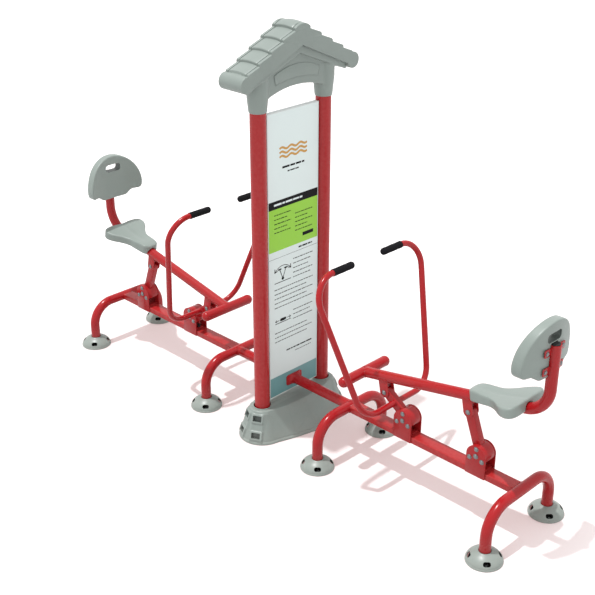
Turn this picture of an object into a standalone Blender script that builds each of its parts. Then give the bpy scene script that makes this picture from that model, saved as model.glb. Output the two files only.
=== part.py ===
"""Outdoor rowing machine: two rowing stations on one frame, back to back across a sign post with a tiled roof.

+X runs along the machine, +Y across the sign, +Z up. The origin is on the ground, midway between the two posts.
The left station is the right one turned half a turn about Z.
"""

import math

import bmesh
import bpy
from mathutils import Matrix, Vector

# Fits that all pieces share
SEAT_GAP = 0.0003
RUNNING_GAP = 0.0004
OVERRUN = 0.010
WELD_DEPTH = 0.004

# Sides of round sections and steps of bends
POST_SIDES = 20
TUBE_SIDES = 12
HANDLE_SIDES = 12
PIN_SIDES = 12
HUB_SIDES = 12
FOOT_SIDES = 16
BEND_STEPS = 4
CORNER_STEPS = 3

# Posts
POST_RADIUS = 0.0445
POST_WALL = 0.004
POST_SPACING = 0.494
POST_PLATE_SIDE = 0.130
POST_PLATE_THICKNESS = 0.012
POST_PLATE_LIP = 0.003

# Roof cap: sleeves round the posts
SLEEVE_BOTTOM = 1.958
SLEEVE_DEPTH = 0.095
SLEEVE_WALL = 0.0045
SLEEVE_TOP_RADIUS = 0.060
SLEEVE_TAPER_HEIGHT = 0.110

# Roof cap: slopes, courses of tiles and eaves
ROOF_TOP = 2.402
ROOF_HALF_DEPTH = 0.0875
ROOF_HALF_SPAN = 0.437
EAVE_RADIUS = 0.045
RIDGE_HALF_WIDTH = 0.053
RIDGE_RISE = 0.018
COURSE_COUNT = 4
COURSE_STEP_OUT = 0.010
COURSE_STEP_DOWN = 0.0145
EAVE_HEIGHT = 2.140
EAVE_START = math.radians(97.0)
EAVE_END = math.radians(-165.0)
EAVE_LAP = 0.003
UNDERSIDE_DROP = 0.121
VERGE_WIDTH = 0.022
VERGE_GROOVE_WIDTH = 0.004
VERGE_GROOVE_DEPTH = 0.004
VERGE_CHAMFER = 0.005
SOFFIT_HALF_DEPTH = 0.066
SOFFIT_DROP = 0.028
SOFFIT_END_INSET = 0.080

# Roof cap: arched lintel between the sleeves
LINTEL_HALF_DEPTH = 0.042
ARCH_HALF_WIDTH = 0.205
ARCH_SPRING = 2.030
ARCH_RISE = 0.037
ARCH_STEPS = 10

# Sign board
SIGN_HALF_WIDTH = 0.196
SIGN_BOTTOM = 0.215
SIGN_TOP = 1.937
SIGN_THICKNESS = 0.029
SIGN_RIM = 0.004
SIGN_POCKET = 0.0012
LUG_WIDTH = 0.012
LUG_HEIGHT = 0.050
LUG_HEIGHT_SHARES = (0.08, 0.5, 0.92)

# Base cover
COVER_TOP = 0.190
COVER_WALL = 0.005
COVER_LIP_HEIGHT = 0.014
COVER_LIP_STEP = 0.004
COVER_EDGE = 0.008
COVER_FOOT_END_RADIUS = 0.143
COVER_TOP_END_RADIUS = 0.076
COVER_KNEE = 0.142
COVER_FOOT_HALF_WIDTH = 0.215
COVER_FOOT_KNEE_HALF_WIDTH = 0.182
COVER_TOP_HALF_WIDTH = 0.112
COVER_TOP_KNEE_HALF_WIDTH = 0.107
COVER_END_START = math.radians(6.0)
COVER_END_STEPS = 6
COLLAR_HEIGHT = 0.010
COLLAR_WIDTH = 0.0085
SLOT_ANGLE = math.radians(27.0)
SLOT_WIDTH = 0.050
SLOT_HEIGHT = 0.026
SLOT_CORNER = 0.006
SLOT_LEVELS = (0.052, 0.148)
FACET_WIDTH = 0.064
FACET_HEIGHT = 0.150
FACET_DEPTH = 0.003
FACET_LEVEL = 0.100

# Legs
LEG_TUBE_RADIUS = 0.030
LEG_TOP_HEIGHT = 0.285
LEG_BEND_RADIUS = 0.145
LEG_HALF_TRACK = 0.275
INNER_LEG_X = 0.478
OUTER_LEG_X = 1.635
LEG_PLATE_RADIUS = 0.080
LEG_PLATE_THICKNESS = 0.008

# Foot covers
FOOT_RADIUS = 0.0967
FOOT_HEIGHT = 0.062
FOOT_RIM_HEIGHT = 0.010
FOOT_WALL = 0.004
FOOT_RIM_STEP = 0.002
FOOT_DOME_STEPS = 3
FOOT_NECK_WIDTH = 0.006
FOOT_WINDOW_WIDTH = 0.032
FOOT_WINDOW_HEIGHT = 0.022
FOOT_WINDOW_TILT = math.radians(38.0)
FOOT_WINDOW_COUNT = 4

# Stub tube and its flange on the sign board
FLANGE_HALF_WIDTH = 0.0625
FLANGE_HALF_HEIGHT = 0.033
FLANGE_CORNER = 0.014
FLANGE_THICKNESS = 0.006
FLARE_LENGTH = 0.030
FLARE_START_SHARE = 0.25
COPE_INSET = 0.012

# Main beam
BEAM_HALF_WIDTH = 0.040
BEAM_HEIGHT = 0.040
BEAM_CORNER = 0.006

# Joint places, across (x) and up (z)
FRONT_AXLE = (0.892, 0.386)
REAR_AXLE = (1.3815, 0.387)
FRONT_PIN = (0.741, 0.492)
REAR_PIN = (1.299, 0.607)

# Brackets that carry the axles
BRACKET_PLATE = 0.006
BRACKET_HALF_LENGTH = 0.061
BRACKET_OVERLAP = 0.037
BRACKET_ARC_STEPS = 8
BRACKET_ARC_REACH = 0.8

# Axles, bearing sleeves and pins
AXLE_RADIUS = 0.010
BOLT_HEAD_RADIUS = 0.013
BOLT_HEAD_HEIGHT = 0.008
BOLT_RIM_HEIGHT = 0.004
BEARING_WALL = 0.006
HUB_WALL = 0.007
HUB_SIDE_GAP = 0.0025
PIN_RADIUS = 0.008

# Links with their curved guards
LINK_DEPTH = 0.053
LINK_HALF_WIDTH = 0.020
LINK_END_STEPS = 6
GUARD_THICKNESS = 0.004
GUARD_INSET = 0.002
GUARD_SIDE_GAP = 0.0015
GUARD_WEB = 0.006
WEB_TRIM = math.radians(3.0)
GUARD_LOW_ANGLE = math.radians(-15.0)
GUARD_PAST_LINK = math.radians(34.0)
GUARD_ARC_STEPS = 7
OPEN_PIVOT_CLEARANCE = 0.0045

# Stop under the front link
STOP_RADIUS = 0.010
STOP_HEIGHT = 0.026
STOP_OFFSET = 0.036
STOP_ARM_WIDTH = 0.024
STOP_ARM_THICKNESS = 0.008

# Handle bar and grips
HANDLE_RADIUS = 0.017
HANDLE_BOTTOM = (0.808, 0.451)
HANDLE_BOTTOM_HALF_WIDTH = 0.269
HANDLE_TOP = (0.570, 1.232)
HANDLE_TOP_HALF_WIDTH = 0.435
HANDLE_BOTTOM_BEND = 0.140
HANDLE_TOP_BEND = 0.134
GRIP_RADIUS = 0.020
GRIP_LENGTH = 0.159
GRIP_END_CAP = 0.026
GRIP_TO_BEND = 0.0015

# Seat beam with its forks and back straps
SEAT_TUBE_RADIUS = 0.030
SEAT_TUBE_REFERENCE = (0.826, 0.598)
SEAT_TUBE_SLOPE = math.radians(11.5)
SEAT_TUBE_CORNER_X = 1.739
SEAT_TUBE_BEND_RADIUS = 0.155
SEAT_TUBE_TOP = 1.156
FORK_PLATE = 0.006
FORK_HALF_GAP = 0.0213
FORK_HALF_LENGTH = 0.030
FORK_ARC_STEPS = 6
FORK_WEB = 0.006
FORK_WEB_INSET = 0.002
STRAP_HEIGHTS = (1.029, 1.127)
STRAP_HALF_WIDTH = 0.084
STRAP_HEIGHT = 0.036
STRAP_THICKNESS = 0.005
CAP_THICKNESS = 0.004
CAP_CROWN = 0.003

# Foot rest
REST_CENTRE_X = 0.571
REST_RADIUS = 0.030
REST_HALF_WIDTH = 0.200
REST_DOME_STEPS = 3

# Seat
SEAT_NOSE_X = 1.303
SEAT_LENGTH = 0.343
SEAT_HALF_WIDTH = 0.152
SEAT_THICKNESS = 0.047
SEAT_ABOVE_TUBE = 0.025
SEAT_EDGE = 0.014
SEAT_DISH = 0.007
SEAT_NOSE_DROP = 0.006
SEAT_NOSE_SHARE = 0.15
SEAT_SKIRT_DROP = 0.006
SEAT_SLICES = 4
SEAT_OUTLINE_SHARES = (
    (0.000, 0.00),
    (0.012, 0.20),
    (0.060, 0.34),
    (0.150, 0.385),
    (0.300, 0.43),
    (0.440, 0.47),
    (0.580, 0.63),
    (0.710, 0.86),
    (0.820, 0.985),
    (0.910, 0.99),
    (0.980, 0.86),
    (1.000, 0.66),
    (0.980, 0.44),
    (0.920, 0.24),
    (0.890, 0.00),
)

# Back rest
BACK_HALF_WIDTH = 0.203
BACK_TOP = 1.275
BACK_BOTTOM = 0.985
BACK_THICKNESS = 0.055
BACK_REAR_RADIUS = 0.553
BACK_FRONT_RADIUS = 0.462
BACK_EDGE = 0.012
BACK_SLICES = 7
BACK_SLOT_HALF_WIDTH = 0.056
BACK_SLOT_HEIGHT = 0.046
BACK_SLOT_CORNER = 0.014
BACK_SLOT_LEVEL = 1.193
BACK_OUTLINE_SHARES = (
    (0.000, 1.000),
    (0.200, 0.985),
    (0.400, 0.940),
    (0.600, 0.858),
    (0.780, 0.735),
    (0.910, 0.580),
    (0.980, 0.420),
    (1.000, 0.285),
    (0.975, 0.180),
    (0.900, 0.125),
    (0.780, 0.120),
    (0.640, 0.110),
    (0.540, 0.060),
    (0.450, 0.012),
    (0.330, 0.000),
    (0.000, 0.000),
)

# Places worked out from the sizes above
POST_Y = POST_SPACING / 2
POST_TOP = SLEEVE_BOTTOM + SLEEVE_DEPTH
BEAM_TOP = LEG_TOP_HEIGHT + BEAM_HEIGHT / 2
BRACKET_INNER = BEAM_HALF_WIDTH + SEAT_GAP
BRACKET_OUTER = BRACKET_INNER + BRACKET_PLATE
BEARING_RADIUS = AXLE_RADIUS + SEAT_GAP + BEARING_WALL
HUB_BORE = (BEARING_RADIUS + RUNNING_GAP) / math.cos(math.pi / HUB_SIDES)
HUB_RADIUS = HUB_BORE + HUB_WALL
HUB_HALF_WIDTH = BRACKET_INNER - HUB_SIDE_GAP
GUARD_RADIUS = BRACKET_HALF_LENGTH - GUARD_INSET
COURSE_PITCH = (ROOF_HALF_SPAN - EAVE_RADIUS - RIDGE_HALF_WIDTH) / COURSE_COUNT
COURSE_DROP = (ROOF_TOP - RIDGE_RISE - EAVE_HEIGHT - EAVE_RADIUS) / COURSE_COUNT
UNDERSIDE_RIDGE = ROOF_TOP - UNDERSIDE_DROP
SADDLE_BOTTOM = BEAM_TOP + SEAT_GAP
SADDLE_TOP = SADDLE_BOTTOM + BRACKET_PLATE

# Finishes: colour, roughness, metallic
RED_PAINT = ((0.43, 0.030, 0.034, 1.0), 0.28, 0.0)
GREY_PLASTIC = ((0.36, 0.42, 0.38, 1.0), 0.50, 0.0)
PALE_BOARD = ((0.80, 0.83, 0.82, 1.0), 0.40, 0.0)
BLACK_FOAM = ((0.012, 0.012, 0.013, 1.0), 0.85, 0.0)
BLACK_RUBBER = ((0.018, 0.018, 0.018, 1.0), 0.80, 0.0)
BRIGHT_STEEL = ((0.48, 0.50, 0.52, 1.0), 0.32, 1.0)
SHARP_ANGLE = math.radians(35.0)
STRAIGHT = math.radians(0.01)
MITRE_LIMIT_SHARE = 0.5
ROUND_EDGE_SHARE = 0.5
ROUND_EDGE_STEPS = 2
SLICE_WELD_SHARE = 0.1


def clear_scene():
    for found in list(bpy.data.objects):
        bpy.data.objects.remove(found, do_unlink=True)


def mesh_from(bm):
    """A mesh with its faces turned outward."""
    bmesh.ops.recalc_face_normals(bm, faces=bm.faces)
    mesh = bpy.data.meshes.new("shape")
    bm.to_mesh(mesh)
    bm.free()
    return mesh


def lofted(rings):
    """A closed solid through rings that hold the same number of points."""
    bm = bmesh.new()
    rows = [[bm.verts.new(point) for point in ring] for ring in rings]
    for row, following in zip(rows, rows[1:]):
        for index in range(len(row)):
            after = (index + 1) % len(row)
            bm.faces.new((row[index], row[after], following[after], following[index]))
    bm.faces.new(rows[0])
    bm.faces.new(rows[-1])
    return mesh_from(bm)


def clear_radius(radius, gap, sides):
    """Corner radius of a hole with flat sides that clears a round bar by a gap."""
    return (radius + gap) / math.cos(math.pi / sides)


def prism(outline, axis, low, high):
    """An outline drawn square to an axis, extruded along it from low to high."""
    places = {
        "x": lambda a, b, along: (along, a, b),
        "y": lambda a, b, along: (a, along, b),
        "z": lambda a, b, along: (a, b, along),
    }
    place = places[axis]
    return lofted([[place(a, b, along) for a, b in outline] for along in (low, high)])


def box(low, high):
    outline = ((low[0], low[1]), (high[0], low[1]), (high[0], high[1]), (low[0], high[1]))
    return prism(outline, "z", low[2], high[2])


def turned(profile, sides, axis="z", centre=(0, 0, 0), hollow=False):
    """A profile of (radius, place along the axis) turned about that axis. A hollow one closes on itself."""
    bm = bmesh.new()
    rows = []
    for radius, along in profile:
        if radius == 0:
            rows.append([bm.verts.new((0, 0, along))])
            continue
        angles = [math.tau * step / sides for step in range(sides)]
        rows.append([bm.verts.new((radius * math.cos(a), radius * math.sin(a), along)) for a in angles])
    pairs = list(zip(rows, rows[1:]))
    if hollow:
        pairs.append((rows[-1], rows[0]))
    for row, following in pairs:
        if len(row) == len(following) == 1:
            continue
        for index in range(sides):
            after = (index + 1) % sides
            corners = [row[index % len(row)], row[after % len(row)]]
            corners += [following[after % len(following)], following[index % len(following)]]
            bm.faces.new(list(dict.fromkeys(corners)))
    if not hollow:
        for row in (rows[0], rows[-1]):
            if len(row) > 1:
                bm.faces.new(row)
    mesh = mesh_from(bm)
    turns = {"z": Matrix(), "y": Matrix.Rotation(-math.pi / 2, 4, "X"), "x": Matrix.Rotation(math.pi / 2, 4, "Y")}
    mesh.transform(Matrix.Translation(centre) @ turns[axis])
    return mesh


def rounded_path(corners, radii, steps):
    """Straight runs joined by arcs: one radius for each inner corner."""
    path = [Vector(corners[0])]
    for index, radius in enumerate(radii, start=1):
        corner = Vector(corners[index])
        back = (Vector(corners[index - 1]) - corner).normalized()
        ahead = (Vector(corners[index + 1]) - corner).normalized()
        half = back.angle(ahead) / 2
        centre = corner + (back + ahead).normalized() * radius / math.sin(half)
        spoke = corner + back * radius / math.tan(half) - centre
        axle = ahead.cross(back).normalized()
        for step in range(steps + 1):
            path.append(centre + Matrix.Rotation((math.pi - 2 * half) * step / steps, 3, axle) @ spoke)
    path.append(Vector(corners[-1]))
    return path


def swept(path, section, sideways):
    """A section carried along a path. Sideways is the direction of the section's first coordinate at the start."""
    across = Vector(sideways)
    rings = []
    for index, point in enumerate(path):
        before = path[max(index - 1, 0)]
        after = path[min(index + 1, len(path) - 1)]
        along = (after - before).normalized()
        across = (across - along * across.dot(along)).normalized()
        upward = along.cross(across)
        bend = (point - before).angle(after - point) if 0 < index < len(path) - 1 else 0.0
        bent = bend > STRAIGHT
        if bent:
            stretch = 1.0 / math.cos(bend / 2)
            outward = ((before - point).normalized() + (after - point).normalized()).normalized()
        ring = []
        for a, b in section:
            offset = across * a + upward * b
            if bent:
                offset = offset + outward * (offset.dot(outward) * (stretch - 1.0))
            ring.append(point + offset)
        rings.append(ring)
    return lofted(rings)


def round_section(radius, sides):
    """Corner points of a round section, with a flat side towards the section's two axes."""
    angles = [math.tau * (step + 0.5) / sides for step in range(sides)]
    return [(radius * math.cos(angle), radius * math.sin(angle)) for angle in angles]


def rounded_rectangle(half_width, half_height, corner, steps=CORNER_STEPS):
    """Corner points of a rectangle with round corners, anticlockwise from its right side."""
    points = []
    for quarter, (side, end) in enumerate(((1, 1), (-1, 1), (-1, -1), (1, -1))):
        for step in range(steps + 1):
            angle = math.pi / 2 * (quarter + step / steps)
            across = side * (half_width - corner) + corner * math.cos(angle)
            upward = end * (half_height - corner) + corner * math.sin(angle)
            points.append((across, upward))
    return points


def arc(centre, radius, start, end, steps):
    angles = [start + (end - start) * step / steps for step in range(steps + 1)]
    return [(centre[0] + radius * math.cos(a), centre[1] + radius * math.sin(a)) for a in angles]


def inset(outline, distance):
    """The anticlockwise outline moved inward by a distance."""
    moved = []
    for index, (a, b) in enumerate(outline):
        before = Vector(outline[index - 1])
        after = Vector(outline[(index + 1) % len(outline)])
        here = Vector((a, b))
        arriving = (here - before).normalized()
        leaving = (after - here).normalized()
        normals = Vector((-arriving.y, arriving.x)), Vector((-leaving.y, leaving.x))
        middle = (normals[0] + normals[1]).normalized()
        reach = distance / max(middle.dot(normals[0]), MITRE_LIMIT_SHARE)
        moved.append(tuple(here + middle * reach))
    return moved


def mirrored(half):
    """A closed anticlockwise outline from its right half, whose first and last points lie on the middle line."""
    return list(half) + [(-a, b) for a, b in reversed(half[1:-1])]


def combined(base, tools, operation, solver="EXACT"):
    """The mesh after one Boolean with each tool. The tools are used up."""
    for tool in tools:
        holder = bpy.data.objects.new("base", base)
        other = bpy.data.objects.new("tool", tool)
        bpy.context.scene.collection.objects.link(holder)
        bpy.context.scene.collection.objects.link(other)
        modifier = holder.modifiers.new("combine", "BOOLEAN")
        modifier.operation = operation
        modifier.solver = solver
        modifier.object = other
        graph = bpy.context.evaluated_depsgraph_get()
        base = bpy.data.meshes.new_from_object(holder.evaluated_get(graph))
        bpy.data.objects.remove(holder, do_unlink=True)
        bpy.data.objects.remove(other, do_unlink=True)
    return base


def joined(base, *tools):
    return combined(base, tools, "UNION")


def cut(base, *tools):
    return combined(base, tools, "DIFFERENCE")


def finish_material(name, finish):
    """A Principled BSDF material with the finish's colour, roughness and metallic value."""
    colour, roughness, metallic = finish
    look = bpy.data.materials.new(name)
    look.use_nodes = True
    shader = look.node_tree.nodes["Principled BSDF"]
    shader.inputs["Base Color"].default_value = colour
    shader.inputs["Roughness"].default_value = roughness
    shader.inputs["Metallic"].default_value = metallic
    return look


def pivot(name, place, parent=None):
    """An empty on a joint's axis. Place is in the parent's frame."""
    empty = bpy.data.objects.new(name, None)
    bpy.context.scene.collection.objects.link(empty)
    empty.parent = parent
    empty.location = place
    return empty


def placed(name, mesh, finish, parent=None, place=(0, 0, 0)):
    """One piece of the machine as its own object."""
    piece = bpy.data.objects.new(name, mesh)
    bpy.context.scene.collection.objects.link(piece)
    piece.parent = parent
    piece.location = place
    look = finish_material(name + "_finish", finish)
    if not mesh.materials:
        mesh.materials.append(look)
    piece.material_slots[0].link = "OBJECT"
    piece.material_slots[0].material = look
    mesh.shade_smooth()
    mesh.set_sharp_from_angle(angle=SHARP_ANGLE)
    return piece


def post(sign):
    """A post with its foot plate and the lugs that hold the sign board. Sign is -1 for the near one, 1 for the far."""
    inner = POST_RADIUS - POST_WALL
    centre = (0, sign * POST_Y, 0)
    foot = POST_PLATE_THICKNESS - WELD_DEPTH
    profile = ((POST_RADIUS, foot), (POST_RADIUS, POST_TOP), (inner, POST_TOP), (inner, foot))
    tube = turned(profile, POST_SIDES, centre=centre, hollow=True)
    half = POST_PLATE_SIDE / 2
    plate = box((-half, sign * POST_Y - half, 0), (half, sign * POST_Y + half, POST_PLATE_THICKNESS))
    hole_radius = inner - POST_PLATE_LIP
    hole = turned(((hole_radius, -OVERRUN), (hole_radius, OVERRUN + POST_PLATE_THICKNESS)), POST_SIDES, centre=centre)
    weldment = joined(cut(plate, hole), tube)
    lug_end = SIGN_HALF_WIDTH + SEAT_GAP
    lug_root = POST_Y - POST_RADIUS + POST_WALL / 2
    lugs = []
    for share in LUG_HEIGHT_SHARES:
        middle = SIGN_BOTTOM + share * (SIGN_TOP - SIGN_BOTTOM)
        near, far = sorted((sign * lug_end, sign * lug_root))
        low = (-LUG_WIDTH / 2, near, middle - LUG_HEIGHT / 2)
        lugs.append(box(low, (LUG_WIDTH / 2, far, middle + LUG_HEIGHT / 2)))
    return joined(weldment, *lugs)


def roof_profile():
    """The right half of the roof's section: its stepped top, its round eave and the slope of its underside."""
    ridge_radius = (RIDGE_HALF_WIDTH ** 2 + RIDGE_RISE ** 2) / (2 * RIDGE_RISE)
    reach = math.asin(RIDGE_HALF_WIDTH / ridge_radius)
    top = arc((0, ROOF_TOP - ridge_radius), ridge_radius, math.pi / 2, math.pi / 2 - reach, CORNER_STEPS)
    across = RIDGE_HALF_WIDTH + COURSE_STEP_OUT
    height = ROOF_TOP - RIDGE_RISE - COURSE_STEP_DOWN
    tilt = (COURSE_DROP - COURSE_STEP_DOWN) / (COURSE_PITCH - COURSE_STEP_OUT)
    middle = (ROOF_HALF_SPAN - EAVE_RADIUS, EAVE_HEIGHT)
    eave = arc(middle, EAVE_RADIUS, EAVE_START, EAVE_END, 2 * BEND_STEPS)
    for course in range(COURSE_COUNT):
        top.append((across, height))
        last = course == COURSE_COUNT - 1
        run = eave[0][0] - across - EAVE_LAP if last else COURSE_PITCH - COURSE_STEP_OUT
        top.append((across + run, height - run * tilt))
        across += COURSE_PITCH
        height -= COURSE_DROP
    rise = (UNDERSIDE_RIDGE - eave[-1][1]) / eave[-1][0]
    return top, eave, rise


def verge_groove(top, x):
    """Tool for the groove that parts a verge from the courses: it follows the steps just below their surface."""
    floor = [(a, b - VERGE_GROOVE_DEPTH) for a, b in top]
    across = floor[-1][0] + OVERRUN
    above = floor[0][1] + OVERRUN + VERGE_GROOVE_DEPTH
    line = floor + [(across, floor[-1][1]), (across, above)]
    outline = line + [(-a, b) for a, b in reversed(line[1:])]
    return prism(outline, "x", x - VERGE_GROOVE_WIDTH / 2, x + VERGE_GROOVE_WIDTH / 2)


def roof_cap():
    """Tiled roof with its verges, soffit, arched lintel and the two sleeves that slip over the posts."""
    top, eave, rise = roof_profile()
    full = [(-a, b) for a, b in mirrored(top + eave + [(0, UNDERSIDE_RIDGE)])]
    chamfered = inset(full, VERGE_CHAMFER)
    stations = [(ROOF_HALF_DEPTH, chamfered), (ROOF_HALF_DEPTH - VERGE_CHAMFER, full)]
    rings = [[(x, a, b) for a, b in outline] for x, outline in stations]
    rings += [[(-x, a, b) for a, b in outline] for x, outline in reversed(stations)]
    groove = ROOF_HALF_DEPTH - VERGE_WIDTH
    roof = cut(lofted(rings), verge_groove(top, groove), verge_groove(top, -groove))
    end = ROOF_HALF_SPAN - SOFFIT_END_INSET
    under = UNDERSIDE_RIDGE - SOFFIT_DROP
    peak = under + 2 * SOFFIT_DROP
    soffit_outline = [(0, under), (end, under - end * rise), (end, peak - end * rise), (0, peak)]
    soffit = prism(mirrored(soffit_outline), "x", -SOFFIT_HALF_DEPTH, SOFFIT_HALF_DEPTH)
    arch_radius = (ARCH_HALF_WIDTH ** 2 + ARCH_RISE ** 2) / (2 * ARCH_RISE)
    sweep = math.asin(ARCH_HALF_WIDTH / arch_radius)
    crown = (0, ARCH_SPRING + ARCH_RISE - arch_radius)
    lintel_outline = arc(crown, arch_radius, math.pi / 2 + sweep, math.pi / 2 - sweep, ARCH_STEPS)
    root = POST_Y - POST_RADIUS / 2
    shoulder = under - root * rise + SOFFIT_DROP / 2
    lintel_outline += [(root, ARCH_SPRING), (root, shoulder), (0, under + SOFFIT_DROP / 2)]
    lintel_outline += [(-root, shoulder), (-root, ARCH_SPRING)]
    lintel = prism(lintel_outline, "x", -LINTEL_HALF_DEPTH, LINTEL_HALF_DEPTH)
    mouth = POST_RADIUS + SLEEVE_WALL
    sleeve_profile = (
        (mouth, SLEEVE_BOTTOM),
        (SLEEVE_TOP_RADIUS, SLEEVE_BOTTOM + SLEEVE_TAPER_HEIGHT),
        (SLEEVE_TOP_RADIUS, under - POST_Y * rise + SOFFIT_DROP),
    )
    bore = POST_RADIUS + SEAT_GAP
    bore_profile = ((bore, SLEEVE_BOTTOM - OVERRUN), (bore, POST_TOP + SEAT_GAP))
    places = [(0, side * POST_Y, 0) for side in (-1, 1)]
    sleeves = [turned(sleeve_profile, POST_SIDES, centre=place) for place in places]
    bores = [turned(bore_profile, POST_SIDES, centre=place) for place in places]
    under_roof = joined(soffit, joined(lintel, *sleeves))
    return cut(combined(roof, [under_roof], "UNION", "MANIFOLD"), *bores)


def sign_board():
    """The board with a shallow pocket in each face for its printed sheet."""
    half = SIGN_THICKNESS / 2
    board = box((-half, -SIGN_HALF_WIDTH, SIGN_BOTTOM), (half, SIGN_HALF_WIDTH, SIGN_TOP))
    floor = half - SIGN_POCKET
    width = SIGN_HALF_WIDTH - SIGN_RIM
    bottom, top = SIGN_BOTTOM + SIGN_RIM, SIGN_TOP - SIGN_RIM
    front = box((floor, -width, bottom), (half + OVERRUN, width, top))
    back = box((-half - OVERRUN, -width, bottom), (-floor, width, top))
    return cut(board, front, back)


def cover_outline(middle, knee, end_radius):
    """Plan outline of the base cover: straight flanks that meet in the middle, and round ends about the posts."""
    end = arc((0, POST_Y), end_radius, COVER_END_START, math.pi / 2, COVER_END_STEPS)
    quarter = [(middle, 0), (knee, COVER_KNEE)] + end
    half = quarter + [(-a, b) for a, b in reversed(quarter[:-1])]
    return half + [(-a, -b) for a, b in half[1:-1]]


def cover_slot_frame(side, turn, level):
    """Where a slot or facet lies on a cover's end: its axes run across, outward and up the slope."""
    lean = math.atan((COVER_FOOT_END_RADIUS - COVER_TOP_END_RADIUS) / COVER_TOP)
    radius = COVER_FOOT_END_RADIUS - level * math.tan(lean)
    heading = Matrix.Rotation(turn, 4, "Z")
    facing = Matrix() if side > 0 else Matrix.Rotation(math.pi, 4, "Z")
    place = Matrix.Translation((0, side * POST_Y, level))
    return place @ facing @ heading @ Matrix.Translation((0, radius, 0)) @ Matrix.Rotation(lean, 4, "X")


def base_cover():
    """Moulded shell round both post feet, open below, with raised collars, recessed facets and slots in its ends."""
    foot = cover_outline(COVER_FOOT_HALF_WIDTH, COVER_FOOT_KNEE_HALF_WIDTH, COVER_FOOT_END_RADIUS)
    top = cover_outline(COVER_TOP_HALF_WIDTH, COVER_TOP_KNEE_HALF_WIDTH, COVER_TOP_END_RADIUS)

    def level(height, distance):
        share = height / COVER_TOP
        plan = [(a + (c - a) * share, b + (d - b) * share) for (a, b), (c, d) in zip(foot, top)]
        return [(a, b, height) for a, b in (inset(plan, distance) if distance else plan)]

    shoulder = COVER_TOP - COVER_EDGE
    rings = [level(0, 0), level(COVER_LIP_HEIGHT, 0), level(COVER_LIP_HEIGHT, COVER_LIP_STEP)]
    rings += [level(shoulder, 0), level(COVER_TOP, COVER_EDGE / 2)]
    shell = lofted(rings)
    wall = COVER_WALL + COVER_LIP_STEP
    below = [(a, b, -OVERRUN) for a, b, height in level(0, wall)]
    hollow = lofted([below, level(0, wall), level(COVER_TOP - COVER_WALL, wall)])
    collar_radius = POST_RADIUS + SEAT_GAP + COLLAR_WIDTH
    collar_profile = ((collar_radius, COVER_TOP - WELD_DEPTH), (collar_radius, COVER_TOP + COLLAR_HEIGHT))
    bore = POST_RADIUS + SEAT_GAP
    bore_profile = ((bore, -OVERRUN), (bore, COVER_TOP + COLLAR_HEIGHT + OVERRUN))
    places = [(0, side * POST_Y, 0) for side in (-1, 1)]
    shell = cut(shell, hollow)
    shell = joined(shell, *[turned(collar_profile, POST_SIDES, centre=place) for place in places])
    shell = cut(shell, *[turned(bore_profile, POST_SIDES, centre=place) for place in places])
    cutters = []
    for side in (-1, 1):
        for turn in (-SLOT_ANGLE, SLOT_ANGLE):
            facet = rounded_rectangle(FACET_WIDTH / 2, FACET_HEIGHT / 2, SLOT_CORNER, 1)
            recess = prism(facet, "y", -FACET_DEPTH, OVERRUN)
            recess.transform(cover_slot_frame(side, turn, FACET_LEVEL))
            cutters.append(recess)
            for height in SLOT_LEVELS:
                opening = rounded_rectangle(SLOT_WIDTH / 2, SLOT_HEIGHT / 2, SLOT_CORNER, 1)
                slot = prism(opening, "y", -wall - OVERRUN, OVERRUN)
                slot.transform(cover_slot_frame(side, turn, height))
                cutters.append(slot)
    return cut(shell, *cutters)


def leg(x):
    """A U-shaped leg of bent tube with a foot plate on each end."""
    bottom = LEG_PLATE_THICKNESS - WELD_DEPTH
    corners = (
        (x, -LEG_HALF_TRACK, bottom),
        (x, -LEG_HALF_TRACK, LEG_TOP_HEIGHT),
        (x, LEG_HALF_TRACK, LEG_TOP_HEIGHT),
        (x, LEG_HALF_TRACK, bottom),
    )
    path = rounded_path(corners, (LEG_BEND_RADIUS, LEG_BEND_RADIUS), BEND_STEPS)
    tube = swept(path, round_section(LEG_TUBE_RADIUS, TUBE_SIDES), (1, 0, 0))
    profile = ((LEG_PLATE_RADIUS, 0), (LEG_PLATE_RADIUS, LEG_PLATE_THICKNESS))
    plates = [turned(profile, FOOT_SIDES, centre=(x, side * LEG_HALF_TRACK, 0)) for side in (-1, 1)]
    return joined(tube, *plates)


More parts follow.
